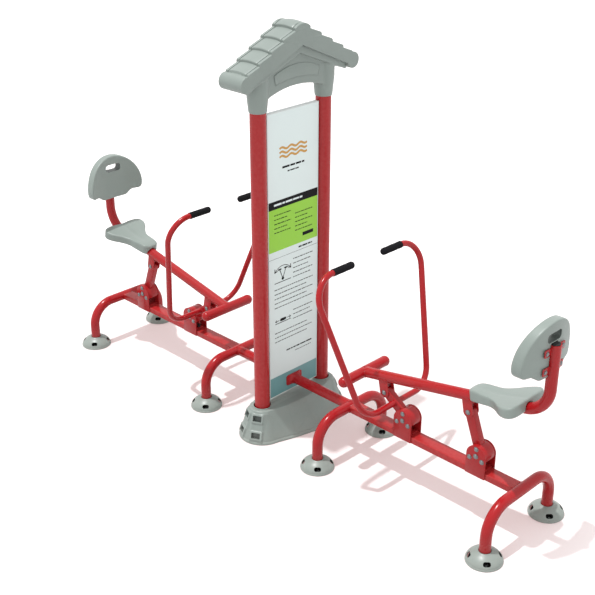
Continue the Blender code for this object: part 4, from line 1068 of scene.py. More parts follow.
def roof_underside():
    """Soffit, arched lintel and the two tapered sleeves, moulded in one."""
    eave = eave_line()[-1]
    rise = (UNDERSIDE_RIDGE - eave[1]) / eave[0]
    under = UNDERSIDE_RIDGE - SOFFIT_DROP
    peak = under + 2 * SOFFIT_DROP
    low_end = SOFFIT_LOW_RIDGE - SOFFIT_END * SOFFIT_LOW_SLOPE
    soffit = [(0, SOFFIT_LOW_RIDGE), (SOFFIT_END, low_end)]
    soffit += [(SOFFIT_END, peak - SOFFIT_END * rise), (0, peak)]
    arch_radius = (ARCH_HALF_WIDTH ** 2 + ARCH_RISE ** 2) / (2 * ARCH_RISE)
    sweep = math.asin(ARCH_HALF_WIDTH / arch_radius)
    crown = (0, ARCH_SPRING + ARCH_RISE - arch_radius)
    lintel = arc(crown, arch_radius, math.pi / 2 + sweep, math.pi / 2 - sweep, 32)
    root = POST_Y - POST_RADIUS / 2
    shoulder = under - root * rise + SOFFIT_DROP / 2
    lintel += [(root, ARCH_SPRING), (root, shoulder), (0, under + SOFFIT_DROP / 2)]
    lintel += [(-root, shoulder), (-root, ARCH_SPRING)]
    top = under - POST_Y * rise + SOFFIT_DROP / 2
    sleeve = [(0, SLEEVE_BOTTOM), (SLEEVE_RADII[0], SLEEVE_BOTTOM)]
    sleeve += [(SLEEVE_RADII[1], SLEEVE_BOTTOM + SLEEVE_TAPER_HEIGHT)]
    sleeve += [(SLEEVE_RADII[1], top), (0, top)]
    parts = [
        prism(mirrored(soffit), "x", -SOFFIT_HALF_DEPTH, SOFFIT_HALF_DEPTH),
        prism(lintel, "x", -LINTEL_HALF_DEPTH, LINTEL_HALF_DEPTH),
    ]
    parts += [turned(sleeve, 64, centre=(0, side * POST_Y, 0)) for side in (-1, 1)]
    return moulded(gathered(*parts), MOULD_GRAIN, 12, 0.4)


def lintel_plates():
    """A bare raised plate with an arched outline and a fine rim on each face of the lintel."""
    outline = []
    for way, (half, middle, drop, reach) in ((-1, PLATE_UPPER), (1, PLATE_LOWER)):
        places = [way * (half - 2 * half * k / 24) for k in range(25)]
        outline += [(y, middle - drop * (y / reach) ** 2) for y in places]
    face = LINTEL_HALF_DEPTH + sizes().frame_rise
    parts = []
    for sign in (-1, 1):
        low, high = sorted((sign * (LINTEL_HALF_DEPTH - PLATE_SINK), sign * face))
        parts.append(prism(outline, "x", low, high, 0.0010))
        parts.append(swept([(sign * face, y, z) for y, z in outline], PLATE_RIM, 8, closed=True))
    return parts


def cover_level(share, distance=0.0):
    """Plan of the base cover at a share of its height: straight flanks, a knee and round ends."""
    def between(pair):
        return pair[0] + (pair[1] - pair[0]) * share

    end = arc((0, POST_Y), between(COVER_END_RADII), math.radians(6.0), math.pi / 2, 18)
    flank = (between(COVER_HALF_WIDTHS), 0)
    bend = (between(COVER_KNEE_HALF_WIDTHS), COVER_KNEE)
    line = [flank] + filleted([flank, bend, end[0]], 0.03, 5)[1:-1] + end
    half = line + [(-a, b) for a, b in reversed(line[:-1])]
    plan = half + [(-a, -b) for a, b in half[1:-1]]
    return [(a, b, COVER_TOP * share) for a, b in (inset(plan, distance) if distance else plan)]


def cover_place(side, turn, level):
    """Frame on a cover's end: its axes run across, outward and up the slope."""
    lean = math.atan((COVER_END_RADII[0] - COVER_END_RADII[1]) / COVER_TOP)
    radius = COVER_END_RADII[0] - level * math.tan(lean)
    facing = Matrix.Rotation(turn + (0 if side > 0 else math.pi), 4, "Z")
    out = Matrix.Translation((0, radius, 0)) @ Matrix.Rotation(lean, 4, "X")
    return Matrix.Translation((0, side * POST_Y, level)) @ facing @ out


def base_cover_shape():
    """Moulded shell round both post feet: lip, shoulder, facets and slots in its ends, collars."""
    rings = [cover_level(share, distance) for share, distance in COVER_RINGS]
    for angle in quarter(5, 1):
        drawn = 0.0050 * (1 - math.cos(angle))
        rings.append(cover_level(0.970 + 0.030 * math.sin(angle), drawn))
    parts = [lofted(rings)]
    below = [(a, b, -0.01) for a, b, height in cover_level(0.0, COVER_WALL)]
    cutters = [lofted([below, cover_level(0.0, COVER_WALL), cover_level(0.97, COVER_WALL)])]
    bore = POST_RADIUS + COVER_GAP
    well = [(0, COVER_TOP - 0.016), (bore, COVER_TOP - 0.016)]
    well += [(bore, COVER_TOP + 0.02), (0, COVER_TOP + 0.02)]
    mouth = rounded_rectangle(*SLOT_HALF, SLOT_CORNER)
    square = ((1, 1), (1, -1), (-1, -1), (-1, 1))
    mouths = []
    for side in (-1, 1):
        cutters.append(turned(well, 72, centre=(0, side * POST_Y, 0)))
        for turn in SLOT_TURNS:
            for level in SLOT_LEVELS:
                place = cover_place(side, turn, level)
                mouths.append(place)
                half_width = SLOT_HALF[0] + 0.009 + 0.004 * (level == SLOT_LEVELS[0])
                rim = rounded_rectangle(half_width, SLOT_HALF[1] + 0.010, 0.009)
                parts.append(placed(prism(rim, "y", -0.012, 0.0042, 0.002), place))
                slot = lofted([[(a * k, y, b * k) for a, b in mouth] for y, k in SLOT_DEPTHS])
                cutters.append(placed(slot, place))
            faces = []
            for y, wide in FACET_DEPTHS:
                faces.append([(a * wide, y, b * FACET_HALF_HEIGHT) for a, b in square])
            parts.append(placed(lofted(faces), cover_place(side, turn, FACET_LEVEL)))
    shell = moulded(gathered(*parts), MOULD_GRAIN, 2, 0.45)
    shell = softened(carved(shell, *cutters), 0.0010, 2, MOULD_ANGLE)
    # The insides of the slots take the darker grey as painted shade
    shade_recesses(shell, mouths, *SLOT_HALF, SLOT_CORNER)
    collar = [(bore - 0.0004, COVER_TOP - 0.004), (bore - 0.0004, COVER_TOP + 0.0035)]
    collar += arc((bore + 0.0024, COVER_TOP + 0.0030), 0.0028, math.pi * 0.9, 0.0, 8)
    collar += [(bore + 0.0056, COVER_TOP - 0.002), (bore + 0.0056, COVER_TOP - 0.004)]
    collars = [turned(collar, 72, centre=(0, side * POST_Y, 0), hollow=True) for side in (-1, 1)]
    return gathered(shell, *collars)


def flat(low, high, level):
    """A flat patch of print: corners across and up, at a level out of the board."""
    bm = bmesh.new()
    bm.faces.new([bm.verts.new((level, a, b)) for a, b in corners_of(low, high)])
    return mesh_from(bm, outward=False)


def stroke(points, width, level):
    """A line of print with round ends through points across and up."""
    bm = bmesh.new()
    for (a0, b0), (a1, b1) in zip(points, points[1:]):
        heading = math.atan2(b1 - b0, a1 - a0)
        ends = arc((a1, b1), width / 2, heading - math.pi / 2, heading + math.pi / 2, 6)
        ends += arc((a0, b0), width / 2, heading + math.pi / 2, heading + math.pi * 1.5, 6)
        bm.faces.new([bm.verts.new((level, a, b)) for a, b in ends])
    return mesh_from(bm, outward=False)


def ribbon(points, width, level):
    """A curved line of print in one strip, through points across and up."""
    bm = bmesh.new()
    pairs = []
    for index, (a, b) in enumerate(points):
        (a0, b0), (a1, b1) = points[max(index - 1, 0)], points[min(index + 1, len(points) - 1)]
        along = Vector((a1 - a0, b1 - b0)).normalized() * (width / 2)
        pairs.append([bm.verts.new((level, a + s * along.y, b - s * along.x)) for s in (1, -1)])
    for (low0, high0), (low1, high1) in zip(pairs, pairs[1:]):
        bm.faces.new((low0, low1, high1, high0))
    return mesh_from(bm, outward=False)


def arrow_head(tip, heading, size, level):
    """Two short strokes that meet at the tip of an arrow."""
    parts = []
    for turn in (-0.6, 0.6):
        angle = heading + math.pi + turn
        tail = (tip[0] + size * math.cos(angle), tip[1] + size * math.sin(angle))
        parts.append(stroke([tip, tail], size * 0.28, level))
    return parts


def swing_sign(y, z, size, level):
    """A lever on a pivot under a two-way arrow: a generic sign for a swinging handle."""
    bow = arc((y, z), size, math.radians(38), math.radians(142), 16)
    parts = [ribbon(bow, 0.0040, level)]
    parts += arrow_head(bow[0], math.radians(38 - 90), size * 0.26, level)
    parts += arrow_head(bow[-1], math.radians(142 + 90), size * 0.26, level)
    for turn in (68, 112):
        angle = math.radians(turn)
        grip = (y + 0.82 * size * math.cos(angle), z + 0.82 * size * math.sin(angle))
        parts.append(stroke([(y, z), grip], 0.0050, level))
        parts.append(stroke([(grip[0] - 0.010, grip[1]), (grip[0] + 0.010, grip[1])], 0.0090, level))
    parts.append(stroke([(y, z), (y + 0.0001, z)], 0.020, level))
    parts.append(stroke([(y - 0.8 * size, z - 0.018), (y + 0.8 * size, z - 0.018)], 0.0045, level))
    return parts


def slide_sign(y, z, size, level):
    """A block on a rail between two arrows: a generic sign for a seat that moves to and fro."""
    parts = [stroke([(y - size, z), (y + size, z)], 0.0045, level)]
    parts.append(stroke([(y - 0.26 * size, z + 0.016), (y + 0.26 * size, z + 0.016)], 0.018, level))
    for way in (-1, 1):
        tip = (y + way * size, z + 0.016)
        parts.append(stroke([(y + way * 0.52 * size, z + 0.016), tip], 0.0040, level))
        parts += arrow_head(tip, 0 if way > 0 else math.pi, size * 0.22, level)
    return parts


def row_of_print(left, right, level, height, depth, seed):
    """Short bars of uneven length that stand for a row of print."""
    pick = random.Random(seed)
    bars = []
    while left < right - 0.004:
        end = min(right, left + pick.uniform(1.6, 5.2) * max(height, 0.004))
        half = height / 2 * pick.uniform(0.85, 1.0)
        bars.append(flat((left, level - half), (end, level + half), depth))
        left = end + 0.0022 + 0.25 * height
    return bars


def sign_sheet():
    """The printed film in the board's pocket: ground, bands, waves, rows of bars and two signs."""
    floor = SIGN_THICKNESS / 2 - SIGN_POCKET + SHEET_LIFT
    face = SIGN_THICKNESS / 2 - SHEET_GAP
    half = SIGN_HALF_WIDTH - SIGN_RIM - SHEET_GAP
    bottom, top = SIGN_BOTTOM + SIGN_RIM + SHEET_GAP, SIGN_TOP - SIGN_RIM - SHEET_GAP
    ink = face + INK_STEP
    line = face + 2 * INK_STEP
    parts = [(box((floor, -half, bottom), (face, half, top)), 0)]
    bands = ((1.3940, 1.4415, 1), (1.1430, 1.3940, 2), (bottom, 0.3445, 3), (1.0990, 1.1008, 1))
    for low, high, colour in bands:
        parts.append((flat((-half, low), (half, high), ink), colour))
    for level in (1.682, 1.706, 1.730):
        wave = [(-0.105 + 0.0070 * k, level + 0.0065 * math.sin(0.62 * k)) for k in range(31)]
        parts.append((ribbon(wave, 0.0125, ink), 4))
    rows = [(-0.085, 0.085, 1.622, 0.012, ink), (-0.045, 0.045, 1.594, 0.008, ink)]
    rows += [(-0.150, 0.070, 1.418, 0.0115, line)]
    pale = len(rows) - 1
    rows += [(-0.150, -0.020 - 0.03 * (k % 2), 1.358 - 0.026 * k, 0.0056, line) for k in range(5)]
    rows += [(0.012, 0.150 - 0.04 * (k % 2), 1.332 - 0.026 * k, 0.0056, line) for k in range(5)]
    rows += [(0.040, 0.150, 1.120, 0.010, ink)]
    for left, right, shorter, nth, level, count in (
        (-0.004, 0.154, 0.018, 3, 1.060, 5), (-0.152, 0.156, 0.05, 2, 0.906, 5),
        (-0.004, 0.154, 0.020, 2, 0.738, 3), (-0.152, 0.110, -0.04, 2, 0.630, 3),
    ):
        for k in range(count):
            rows.append((left, right - shorter * (k % nth), level - 0.0285 * k, 0.0054, ink))
    rows += [(-0.060, 0.150, 0.492, 0.009, ink), (0.010, 0.150, 0.466, 0.0045, ink)]
    for seed, row in enumerate(rows):
        colour = 0 if seed == pale else 1
        parts += [(bar, colour) for bar in row_of_print(*row, seed)]
    parts.append((flat((0.072, 1.180), (0.158, 1.201), line), 1))
    parts += [(mesh, 1) for mesh in swing_sign(-0.086, 0.965, 0.080, ink)]
    parts += [(mesh, 1) for mesh in slide_sign(-0.086, 0.690, 0.062, ink)]
    return gathered(*parts)


# Station


def leg_shape(x):
    """A leg bent down at both ends, with its foot plates, nuts and welds. Its feet inside the foot
    covers take a black finish as painted shade.
    """
    near, far = (x, -LEG_TRACK), (x, LEG_TRACK)
    corners = ((*near, LEG_FOOT), (*near, LEG_TOP), (*far, LEG_TOP), (*far, LEG_FOOT))
    path = rounded_path(corners, (LEG_BEND, LEG_BEND), sizes().bend_steps)
    path.insert(1, Vector((*near, PAINTED_SHADE_BELOW)))
    path.insert(-1, Vector((*far, PAINTED_SHADE_BELOW)))
    parts = [swept(path, LEG_RADIUS, sizes().tube_sides)]
    plate = filleted([(0, 0), (LEG_PLATE[0], 0), LEG_PLATE, (0, LEG_PLATE[1])], 0.0015, 2)
    for side in (-1, 1):
        y = side * LEG_TRACK
        parts.append(turned(plate, 64, centre=(x, y, 0)))
        parts.append(ring_weld((x, y, LEG_PLATE[1]), LEG_RADIUS, "z"))
        for turn in range(4):
            angle = math.tau * (turn + 0.5) / 4
            across, along = ANCHOR_RING * math.cos(angle), ANCHOR_RING * math.sin(angle)
            place = (x + across, y + along, LEG_PLATE[1])
            parts.append((turned(ANCHOR_NUT, 6, centre=place), 1))
    leg = gathered(*parts)
    # Painted shade: the feet seen through the cover windows are black
    for face in leg.polygons:
        if face.center.z < PAINTED_SHADE_BELOW and face.material_index == 0:
            face.material_index = 2
    return leg


def foot_cover_shape():
    """Domed cover with a turned rim, a raised neck and four round-cornered windows."""
    def dome(reach, base, height):
        line = []
        for a in quarter(18):
            rise = FOOT_DOME[0] * math.sin(a) + FOOT_DOME[1] * (1 - math.cos(a))
            across = FOOT_CROWN + (reach - FOOT_CROWN) * math.cos(a)
            line.append((across, base + (height - base) * rise))
        return line

    rim = FOOT_RADIUS - 0.001
    profile = [(rim, 0.0), (FOOT_RADIUS, 0.001), (FOOT_RADIUS, 0.0085), (rim, 0.0098)]
    profile += dome(FOOT_SKIRT, FOOT_DOME_BASE, FOOT_DOME_TOP)
    profile += [(FOOT_CROWN - 0.001, FOOT_HEIGHT), (FOOT_NECK + 0.0008, FOOT_HEIGHT)]
    profile += [(FOOT_NECK, FOOT_HEIGHT - 0.0010), (FOOT_NECK, FOOT_HEIGHT - 0.005)]
    profile += dome(FOOT_SKIRT - FOOT_WALL, 0.010, FOOT_HEIGHT - 0.005)[::-1]
    profile += [(FOOT_SKIRT - FOOT_WALL, 0.0)]
    out = FOOT_CROWN + (FOOT_SKIRT - FOOT_CROWN) * WINDOW_OUT
    middle = FOOT_DOME_BASE + (FOOT_DOME_TOP - FOOT_DOME_BASE) * 0.50
    place = Matrix.Translation((0, out, middle)) @ Matrix.Rotation(WINDOW_TILT, 4, "X")
    windows = []
    for index in range(4):
        outline = rounded_rectangle(*WINDOW, 8)
        window = prism(outline, "y", -WINDOW_HALF_DEPTH, WINDOW_HALF_DEPTH)
        turn = Matrix.Rotation(math.tau * (index + 0.5) / 4, 4, "Z")
        windows.append(placed(window, turn @ place))
    cover = carved(turned(profile, 96, hollow=True), *windows)
    return softened(cover, 0.0005, 2, MOULD_ANGLE)


def stub_shape():
    """Tube from the sign board to the inner leg, flared into its flange and welded at the leg."""
    half_width, half_height, corner, thickness = FLANGE
    start = SIGN_THICKNESS / 2 - SIGN_POCKET + HAIR
    face = start + thickness
    plate = rounded_rectangle(half_width, half_height, corner, 15)
    turns = [math.pi / 2 * (q + (s + 0.5) / 16) for q in range(4) for s in range(16)]
    tube = [(LEG_RADIUS * math.cos(a), LEG_RADIUS * math.sin(a)) for a in turns]
    stations = [(start, 0.0, 0.0), (face - 0.0015, 0.0, 0.0), (face, 0.0, 0.0015)]
    for angle in quarter(12, 1):
        share = 0.22 + 0.78 * math.sin(angle)
        stations.append((face + FLARE_LENGTH * (1 - math.cos(angle)), share, 0.0))
    leg = LEG_PLACES[0][1]
    stations.append((leg, 1.0, 0.0))
    rings = []
    for x, share, trim in stations:
        pairs = zip(inset(plate, trim) if trim else plate, tube)
        blend = [(a + (c - a) * share, b + (d - b) * share) for (a, b), (c, d) in pairs]
        rings.append([(x, a, b + LEG_TOP) for a, b in blend])
    tee = [(leg - abs(a) - 0.0006, a, b + LEG_TOP) for a, b in circle(LEG_RADIUS, 96)]
    return gathered(lofted(rings), weld(tee))


def beam_shape():
    """Flat box beam welded between the legs."""
    section = (BEAM_HALF_WIDTH, BEAM_HALF_HEIGHT, BEAM_CORNER)
    ends = [x for row, x in LEG_PLACES]
    outline = [(a, b + LEG_TOP) for a, b in rounded_rectangle(*section)]
    parts = [prism(outline, "x", *ends)]
    for x, sign in zip(ends, (1, -1)):
        line = []
        for a, b in rounded_rectangle(*section, 4):
            line.append((x + sign * math.sqrt(LEG_RADIUS ** 2 - b ** 2), a, b + LEG_TOP))
        parts.append(weld(line))
    return gathered(*parts)


def bolt(place, way, radius=None, height=None):
    """A washer and a domed cap on a face square to Y."""
    radius = radius or sizes().bolt_radius
    dome = (height or sizes().bolt_height) - WASHER_TOP
    profile = [(0, 0), (radius * WASHER, 0), (radius * WASHER, 0.0012)]
    profile += [(radius, 0.0016), (radius, WASHER_TOP)]
    for angle in quarter(8, 1):
        profile.append((radius * math.cos(angle), WASHER_TOP + dome * math.sin(angle)))
    return turned([(r, along * way) for r, along in profile], 28, axis="y", centre=place)


def bracket_shape(axle):
    """Two side plates with round tops, the saddle between them and the welds along the beam."""
    x, z = axle
    bottom = BEAM_TOP - BRACKET_OVERLAP
    half = BRACKET_HALF_LENGTH
    outer = BRACKET_INNER + BRACKET_PLATE
    outline = [(x + half, bottom)] + arc((x, z), half, 0, math.pi, 40) + [(x - half, bottom)]
    parts = []
    for sign in (-1, 1):
        low, high = sorted((sign * BRACKET_INNER, sign * outer))
        parts.append(prism(outline, "y", low, high, sizes().edge))
        for turn in BOLT_TURNS:
            angle = math.radians(turn)
            across, up = BOLT_RING * math.cos(angle), BOLT_RING * math.sin(angle)
            parts.append((bolt((x + across, sign * outer, z + up), sign), 1))
        for end in (-1, 1):
            seam = (x + end * (half + WELD_LIFT), sign * (BRACKET_INNER + WELD_LIFT))
            line = [(*seam, bottom + 0.004 + 0.028 * step / 8) for step in range(9)]
            parts.append(weld(line, closed=False))
    reach, base = BRACKET_INNER + 0.002, BEAM_TOP + HAIR
    low = (x - SADDLE_HALF_LENGTH, -reach, base)
    parts.append(box(low, (x + SADDLE_HALF_LENGTH, reach, base + BRACKET_PLATE), 0.001))
    return gathered(*parts)


def axle_shape(place, half_grip, radius, head):
    """A pin across the machine with a washer and a domed cap on each end."""
    x, z = place
    parts = [turned([(radius, -half_grip), (radius, half_grip)], 32, axis="y", centre=(x, 0, z))]
    for sign in (-1, 1):
        parts.append(bolt((x, sign * (half_grip + HAIR), z), sign, head))
    return gathered(*parts)


def link_shape(axle, pin):
    """Box tube from a hub to the upper pin, with the hub's web and its curved guard."""
    x, z = axle
    heading = math.atan2(pin[1] - z, pin[0] - x)
    length = math.hypot(pin[0] - x, pin[1] - z)
    end = arc((length, 0), LINK_HALF_DEPTH, -math.pi / 2, math.pi / 2, 24)
    end = [(length + (a - length) * 0.68, b) for a, b in end]
    root = HUB_RADIUS * 0.4
    outline = [(root, -LINK_HALF_DEPTH)] + end + [(root, LINK_HALF_DEPTH)]
    arm = prism(outline, "y", -LINK_HALF_WIDTH, LINK_HALF_WIDTH, 0.0035, 3)
    arm.transform(Matrix.Translation((x, 0, z)) @ Matrix.Rotation(-heading, 4, "Y"))
    profile = corners_of((0, -HUB_HALF_WIDTH), (HUB_RADIUS, HUB_HALF_WIDTH))
    hub = turned(filleted(profile, 0.0012, 2), 56, axis="y", centre=(x, 0, z))
    low, high = GUARD_LOW, GUARD_HIGH
    outline = arc(axle, GUARD_RADIUS, low, high, 40)
    outline += arc(axle, GUARD_RADIUS - GUARD_THICKNESS, high, low, 40)
    guard = prism(outline, "y", -GUARD_HALF_WIDTH, GUARD_HALF_WIDTH, 0.0012)
    outline = arc(axle, GUARD_RADIUS - 0.002, low + 0.05, high - 0.05, 24)
    outline += arc(axle, HUB_RADIUS - 0.003, high - 0.05, low + 0.05, 24)
    parts = [arm, hub, guard, prism(outline, "y", -0.003, 0.003)]
    for sign in (-1, 1):
        boss = corners_of((0, 0), (0.014, sign * 0.0006))
        centre = (pin[0], sign * LINK_HALF_WIDTH, pin[1])
        parts.append(turned(boss, 32, axis="y", centre=centre))
    return gathered(*parts)


def front_link_shape():
    """The front link with the arm that rests on the stop and the welds round the handle bar."""
    x, z = FRONT_AXLE
    top = STOP[1] + STOP[2] + 0.0006
    outline = ((STOP[0] - 0.012, top), (STOP[0] + 0.012, top))
    outline += ((x, z - HUB_RADIUS), (x - HUB_RADIUS, z))
    parts = [link_shape(FRONT_AXLE, FRONT_PIN), prism(outline, "y", -0.004, 0.004, 0.001)]
    for sign in (-1, 1):
        centre = (HANDLE_BOTTOM[0], sign * LINK_HALF_WIDTH, HANDLE_BOTTOM[1])
        parts.append(ring_weld(centre, HANDLE_RADIUS + WELD_LIFT, "y"))
    return gathered(*parts)


def handle_shape():
    """The bent bar that a rower pulls, from grip to grip."""
    half = [
        (HANDLE_BOTTOM[0], HANDLE_BOTTOM_HALF_WIDTH, HANDLE_BOTTOM[1]),
        (HANDLE_TOP[0], HANDLE_TOP_HALF_WIDTH, HANDLE_TOP[1]),
        (HANDLE_TOP[0], -GRIP_BOX[0].y - 0.132, HANDLE_TOP[1]),
    ]
    corners = [(a, -b, c) for a, b, c in reversed(half)] + half
    low, high = HANDLE_BENDS
    path = rounded_path(corners, (high, low, low, high), sizes().bend_steps)
    return swept(path, HANDLE_RADIUS, 40)


def grip_shape(sign):
    """Foam sleeve with a rounded tip and a soft rolled mouth."""
    mouth, tip = -GRIP_BOX[0].y, -GRIP_BOX[1].y
    bore = HANDLE_RADIUS + HAIR
    profile = [(bore, mouth - 0.002), (HANDLE_RADIUS + 0.0008, mouth)]
    profile += arc((GRIP_RADIUS - 0.0018, mouth - 0.0018), 0.0018, math.pi / 2, 0, 5)
    for step in range(1, 24):
        share = step / 24
        along = mouth - 0.003 + (tip + GRIP_RADIUS - mouth + 0.003) * share
        profile.append((GRIP_RADIUS - 0.00025 * (1 - math.cos(math.tau * share * 2)), along))
    for angle in quarter(12)[:-1]:
        along = tip + GRIP_RADIUS - GRIP_RADIUS * math.sin(angle)
        profile.append((GRIP_RADIUS * math.cos(angle), along))
    profile += [(0, tip), (0, tip + 0.024), (bore, tip + 0.024)]
    profile = [(radius, sign * along) for radius, along in profile]
    return turned(profile, 48, axis="y", centre=(HANDLE_TOP[0], 0, HANDLE_TOP[1]), hollow=True)


def tube_height(x):
    """Height of the seat tube's axis above the ground."""
    return TUBE_REFERENCE[1] + math.tan(TUBE_SLOPE) * (x - TUBE_REFERENCE[0])


def tube_frame(x):
    """Frame on the seat tube's axis whose x runs up the slope."""
    return Matrix.Translation((x, 0, tube_height(x))) @ Matrix.Rotation(-TUBE_SLOPE, 4, "Y")


def fork_parts(pin):
    """Two plates under the seat tube, the web between them and the welds along the tube."""
    above = (tube_height(pin[0]) - pin[1]) * math.cos(TUBE_SLOPE)
    half = FORK_HALF_LENGTH
    outer = FORK_HALF_GAP + FORK_PLATE
    outline = [(half, 0), (-half, 0)] + arc((0, -above), half, math.pi, math.tau, 28)
    level = -math.sqrt(TUBE_RADIUS ** 2 - outer ** 2)
    reach, wide = half - 0.002, outer - 0.003
    parts = [
        prism(outline, "y", FORK_HALF_GAP, outer, sizes().edge),
        prism(outline, "y", -outer, -FORK_HALF_GAP, sizes().edge),
        box((-reach, -wide, -TUBE_RADIUS - 0.006), (reach, wide, -TUBE_RADIUS + 0.002), 0.0008),
    ]
    for sign in (-1, 1):
        y = sign * (outer + WELD_LIFT)
        line = [(-reach + 2 * reach * step / 12, y, level) for step in range(13)]
        parts.append(weld(line, closed=False))
    place = tube_frame(pin[0] - above * math.sin(TUBE_SLOPE))
    return [placed(part, place) for part in parts]


def seat_tube_path(steps):
    """Axis of the seat tube, from the foot rest along the slope and up behind the back rest."""
    corner = (TUBE_CORNER_X, 0, tube_height(TUBE_CORNER_X))
    corners = ((REST_X, 0, tube_height(REST_X)), corner, (TUBE_CORNER_X, 0, TUBE_TOP))
    return rounded_path(corners, (TUBE_BEND,), steps)


def seat_beam_shape():
    """Bent tube from the foot rest to the back rest, with its forks, straps, bolts and welds."""
    parts = [swept(seat_tube_path(sizes().bend_steps), TUBE_RADIUS, sizes().tube_sides)]
    parts += fork_parts(FRONT_PIN) + fork_parts(REAR_PIN)
    for level in STRAP_LEVELS:
        strap = rounded_rectangle(STRAP_HALF_WIDTH, STRAP_HALF_HEIGHT, STRAP_CORNER, 5)
        strap = [(a, b + level) for a, b in strap]
        rear = TUBE_CORNER_X - STRAP_THICKNESS
        parts.append(prism(strap, "x", rear, TUBE_CORNER_X, 0.001))
        for sign in (-1, 1):
            place = Matrix.Translation((TUBE_CORNER_X, sign * STRAP_BOLT_Y, level))
            head = bolt((0, 0, 0), 1, *STRAP_BOLT)
            parts.append((placed(head, place @ Matrix.Rotation(-math.pi / 2, 4, "Z")), 1))
            seam = (TUBE_CORNER_X + 0.0006, sign * (TUBE_RADIUS + WELD_LIFT))
            rises = [STRAP_HALF_HEIGHT * (-0.9 + 1.8 * step / 10) for step in range(11)]
            parts.append(weld([(*seam, level + rise) for rise in rises], closed=False))
    saddle = []
    for a, b in circle(TUBE_RADIUS, 96):
        saddle.append((math.sqrt(max(REST_RADIUS ** 2 - b ** 2, 0.0)), a, b))
    parts.append(placed(weld(saddle), tube_frame(REST_X)))
    return gathered(*parts)


def foot_rest_shape():
    """Round bar with domed ends and a weld round each."""
    dome = REST_HALF_WIDTH - REST_RADIUS
    height = tube_height(REST_X)
    side = [(REST_RADIUS * math.cos(a), dome + REST_RADIUS * math.sin(a)) for a in quarter(12)[:-1]]
    side.append((0, REST_HALF_WIDTH))
    profile = [(radius, -along) for radius, along in reversed(side)] + side
    parts = [turned(profile, sizes().tube_sides, axis="y", centre=(REST_X, 0, height))]
    for sign in (-1, 1):
        parts.append(ring_weld((REST_X, sign * dome, height), REST_RADIUS - 0.0021, "y"))
    return gathered(*parts)


def plate_skin(outline, thickness, low_edge, high_edge, grain):
    """A closed plate with rims of two roundings, as an even skin that can be bent."""
    pairs = zip(outline, outline[1:] + outline[:1])
    if sum(a * d - c * b for (a, b), (c, d) in pairs) < 0:
        outline = outline[::-1]
    rims = [(low_edge, low_edge, -1, angle) for angle in reversed(quarter(4))]
    rims += [(high_edge, thickness - high_edge, 1, angle) for angle in quarter(4)]
    rings = []
    for edge, level, sign, angle in rims:
        drawn = inset(outline, edge * (1 - math.cos(angle)))
        rings.append([(a, b, level + sign * edge * math.sin(angle)) for a, b in drawn])
    return moulded(lofted(rings), grain, 1)


def seat_shape():
    """Moulded saddle: raised nose, waist, two lobes with a notch, a dished top, an arch below."""
    half = [(SEAT_HALF_WIDTH * b, SEAT_LENGTH * a) for a, b in SEAT_SHARES]
    middle = SEAT_LENGTH / 2
    outline = [(a - middle, b) for b, a in flowing(mirrored(half))]
    mesh = plate_skin(outline, SEAT_THICKNESS, *SEAT_EDGES, SEAT_GRAIN)
    dish = sizes().seat_dish
    for vertex in mesh.vertices:
        share = min(max(vertex.co.x / SEAT_LENGTH + 0.5, 0.0), 1.0)
        height = min(max(vertex.co.z / SEAT_THICKNESS, 0.0), 1.0)
        side = min(abs(vertex.co.y) / SEAT_HALF_WIDTH, 1.0)
        swell = math.sin(math.pi * share)
        dip = dish * swell * height
        crease = 0.0025 * math.exp(-((vertex.co.y / 0.020) ** 2)) * swell ** 2 * height
        droop = 0.004 * max(0.0, 1 - share / 0.10) ** 2 * height
        rise = 0.007 * math.exp(-(((share - 0.16) / 0.15) ** 2)) * height
        sag = (0.013 - 0.003 * share) * (1 - height)
        lobe = 0.003 * math.sin(math.pi * side) * max(0.0, share - 0.5) * 2 * height
        vertex.co.z += lobe + rise - dip - crease - droop - sag
    lift = Matrix.Translation((0, 0, TUBE_RADIUS + SEAT_ABOVE_TUBE - SEAT_THICKNESS))
    mesh.transform(tube_frame(SEAT_NOSE_X + middle) @ lift)
    groove = swept(seat_tube_path(24), SEAT_GROOVE, 48)
    return moulded(carved(mesh, groove), FINE_GRAIN, 3, 0.45)


def back_rest_shape():
    """Moulded back rest, hollowed towards the rower, with a hand slot and a groove behind."""
    height = BACK_TOP - BACK_BOTTOM
    half = [(BACK_HALF_WIDTH * a, BACK_BOTTOM + height * b) for a, b in reversed(BACK_SHARES)]
    mesh = plate_skin(flowing(mirrored(half), 5), BACK_THICKNESS, *BACK_EDGES, MOULD_GRAIN)
    rear = TUBE_CORNER_X - STRAP_THICKNESS - HAIR
    for vertex in mesh.vertices:
        across, upward, share = vertex.co.x, vertex.co.y, vertex.co.z / BACK_THICKNESS
        limited = max(-BACK_HALF_WIDTH, min(BACK_HALF_WIDTH, across))
        behind, before = (radius - math.sqrt(radius ** 2 - limited ** 2) for radius in BACK_RADII)
        depth = BACK_THICKNESS * share + behind * (1 - share) + before * share
        vertex.co = (rear - depth, across, upward)
    slot = prism(rounded_rectangle(*BACK_SLOT), "x", -0.20, 0.05)
    slot.transform(Matrix.Translation((rear, 0, BACK_SLOT_LEVEL)))
    profile = [(BACK_GROOVE, BACK_BOTTOM - 0.02), (BACK_GROOVE, TUBE_TOP + 0.0085)]
    groove = turned(profile, 48, centre=(TUBE_CORNER_X, 0, 0))
    mesh = moulded(carved(mesh, slot, groove), FINE_GRAIN, 1, 0.4)
    mouth = Matrix.Translation((rear + 0.02, 0, BACK_SLOT_LEVEL))
    # The inside of the hand slot takes the darker grey as painted shade
    shade_recesses(mesh, [mouth @ Matrix.Rotation(-math.pi / 2, 4, "Z")], *BACK_SLOT)
    return mesh


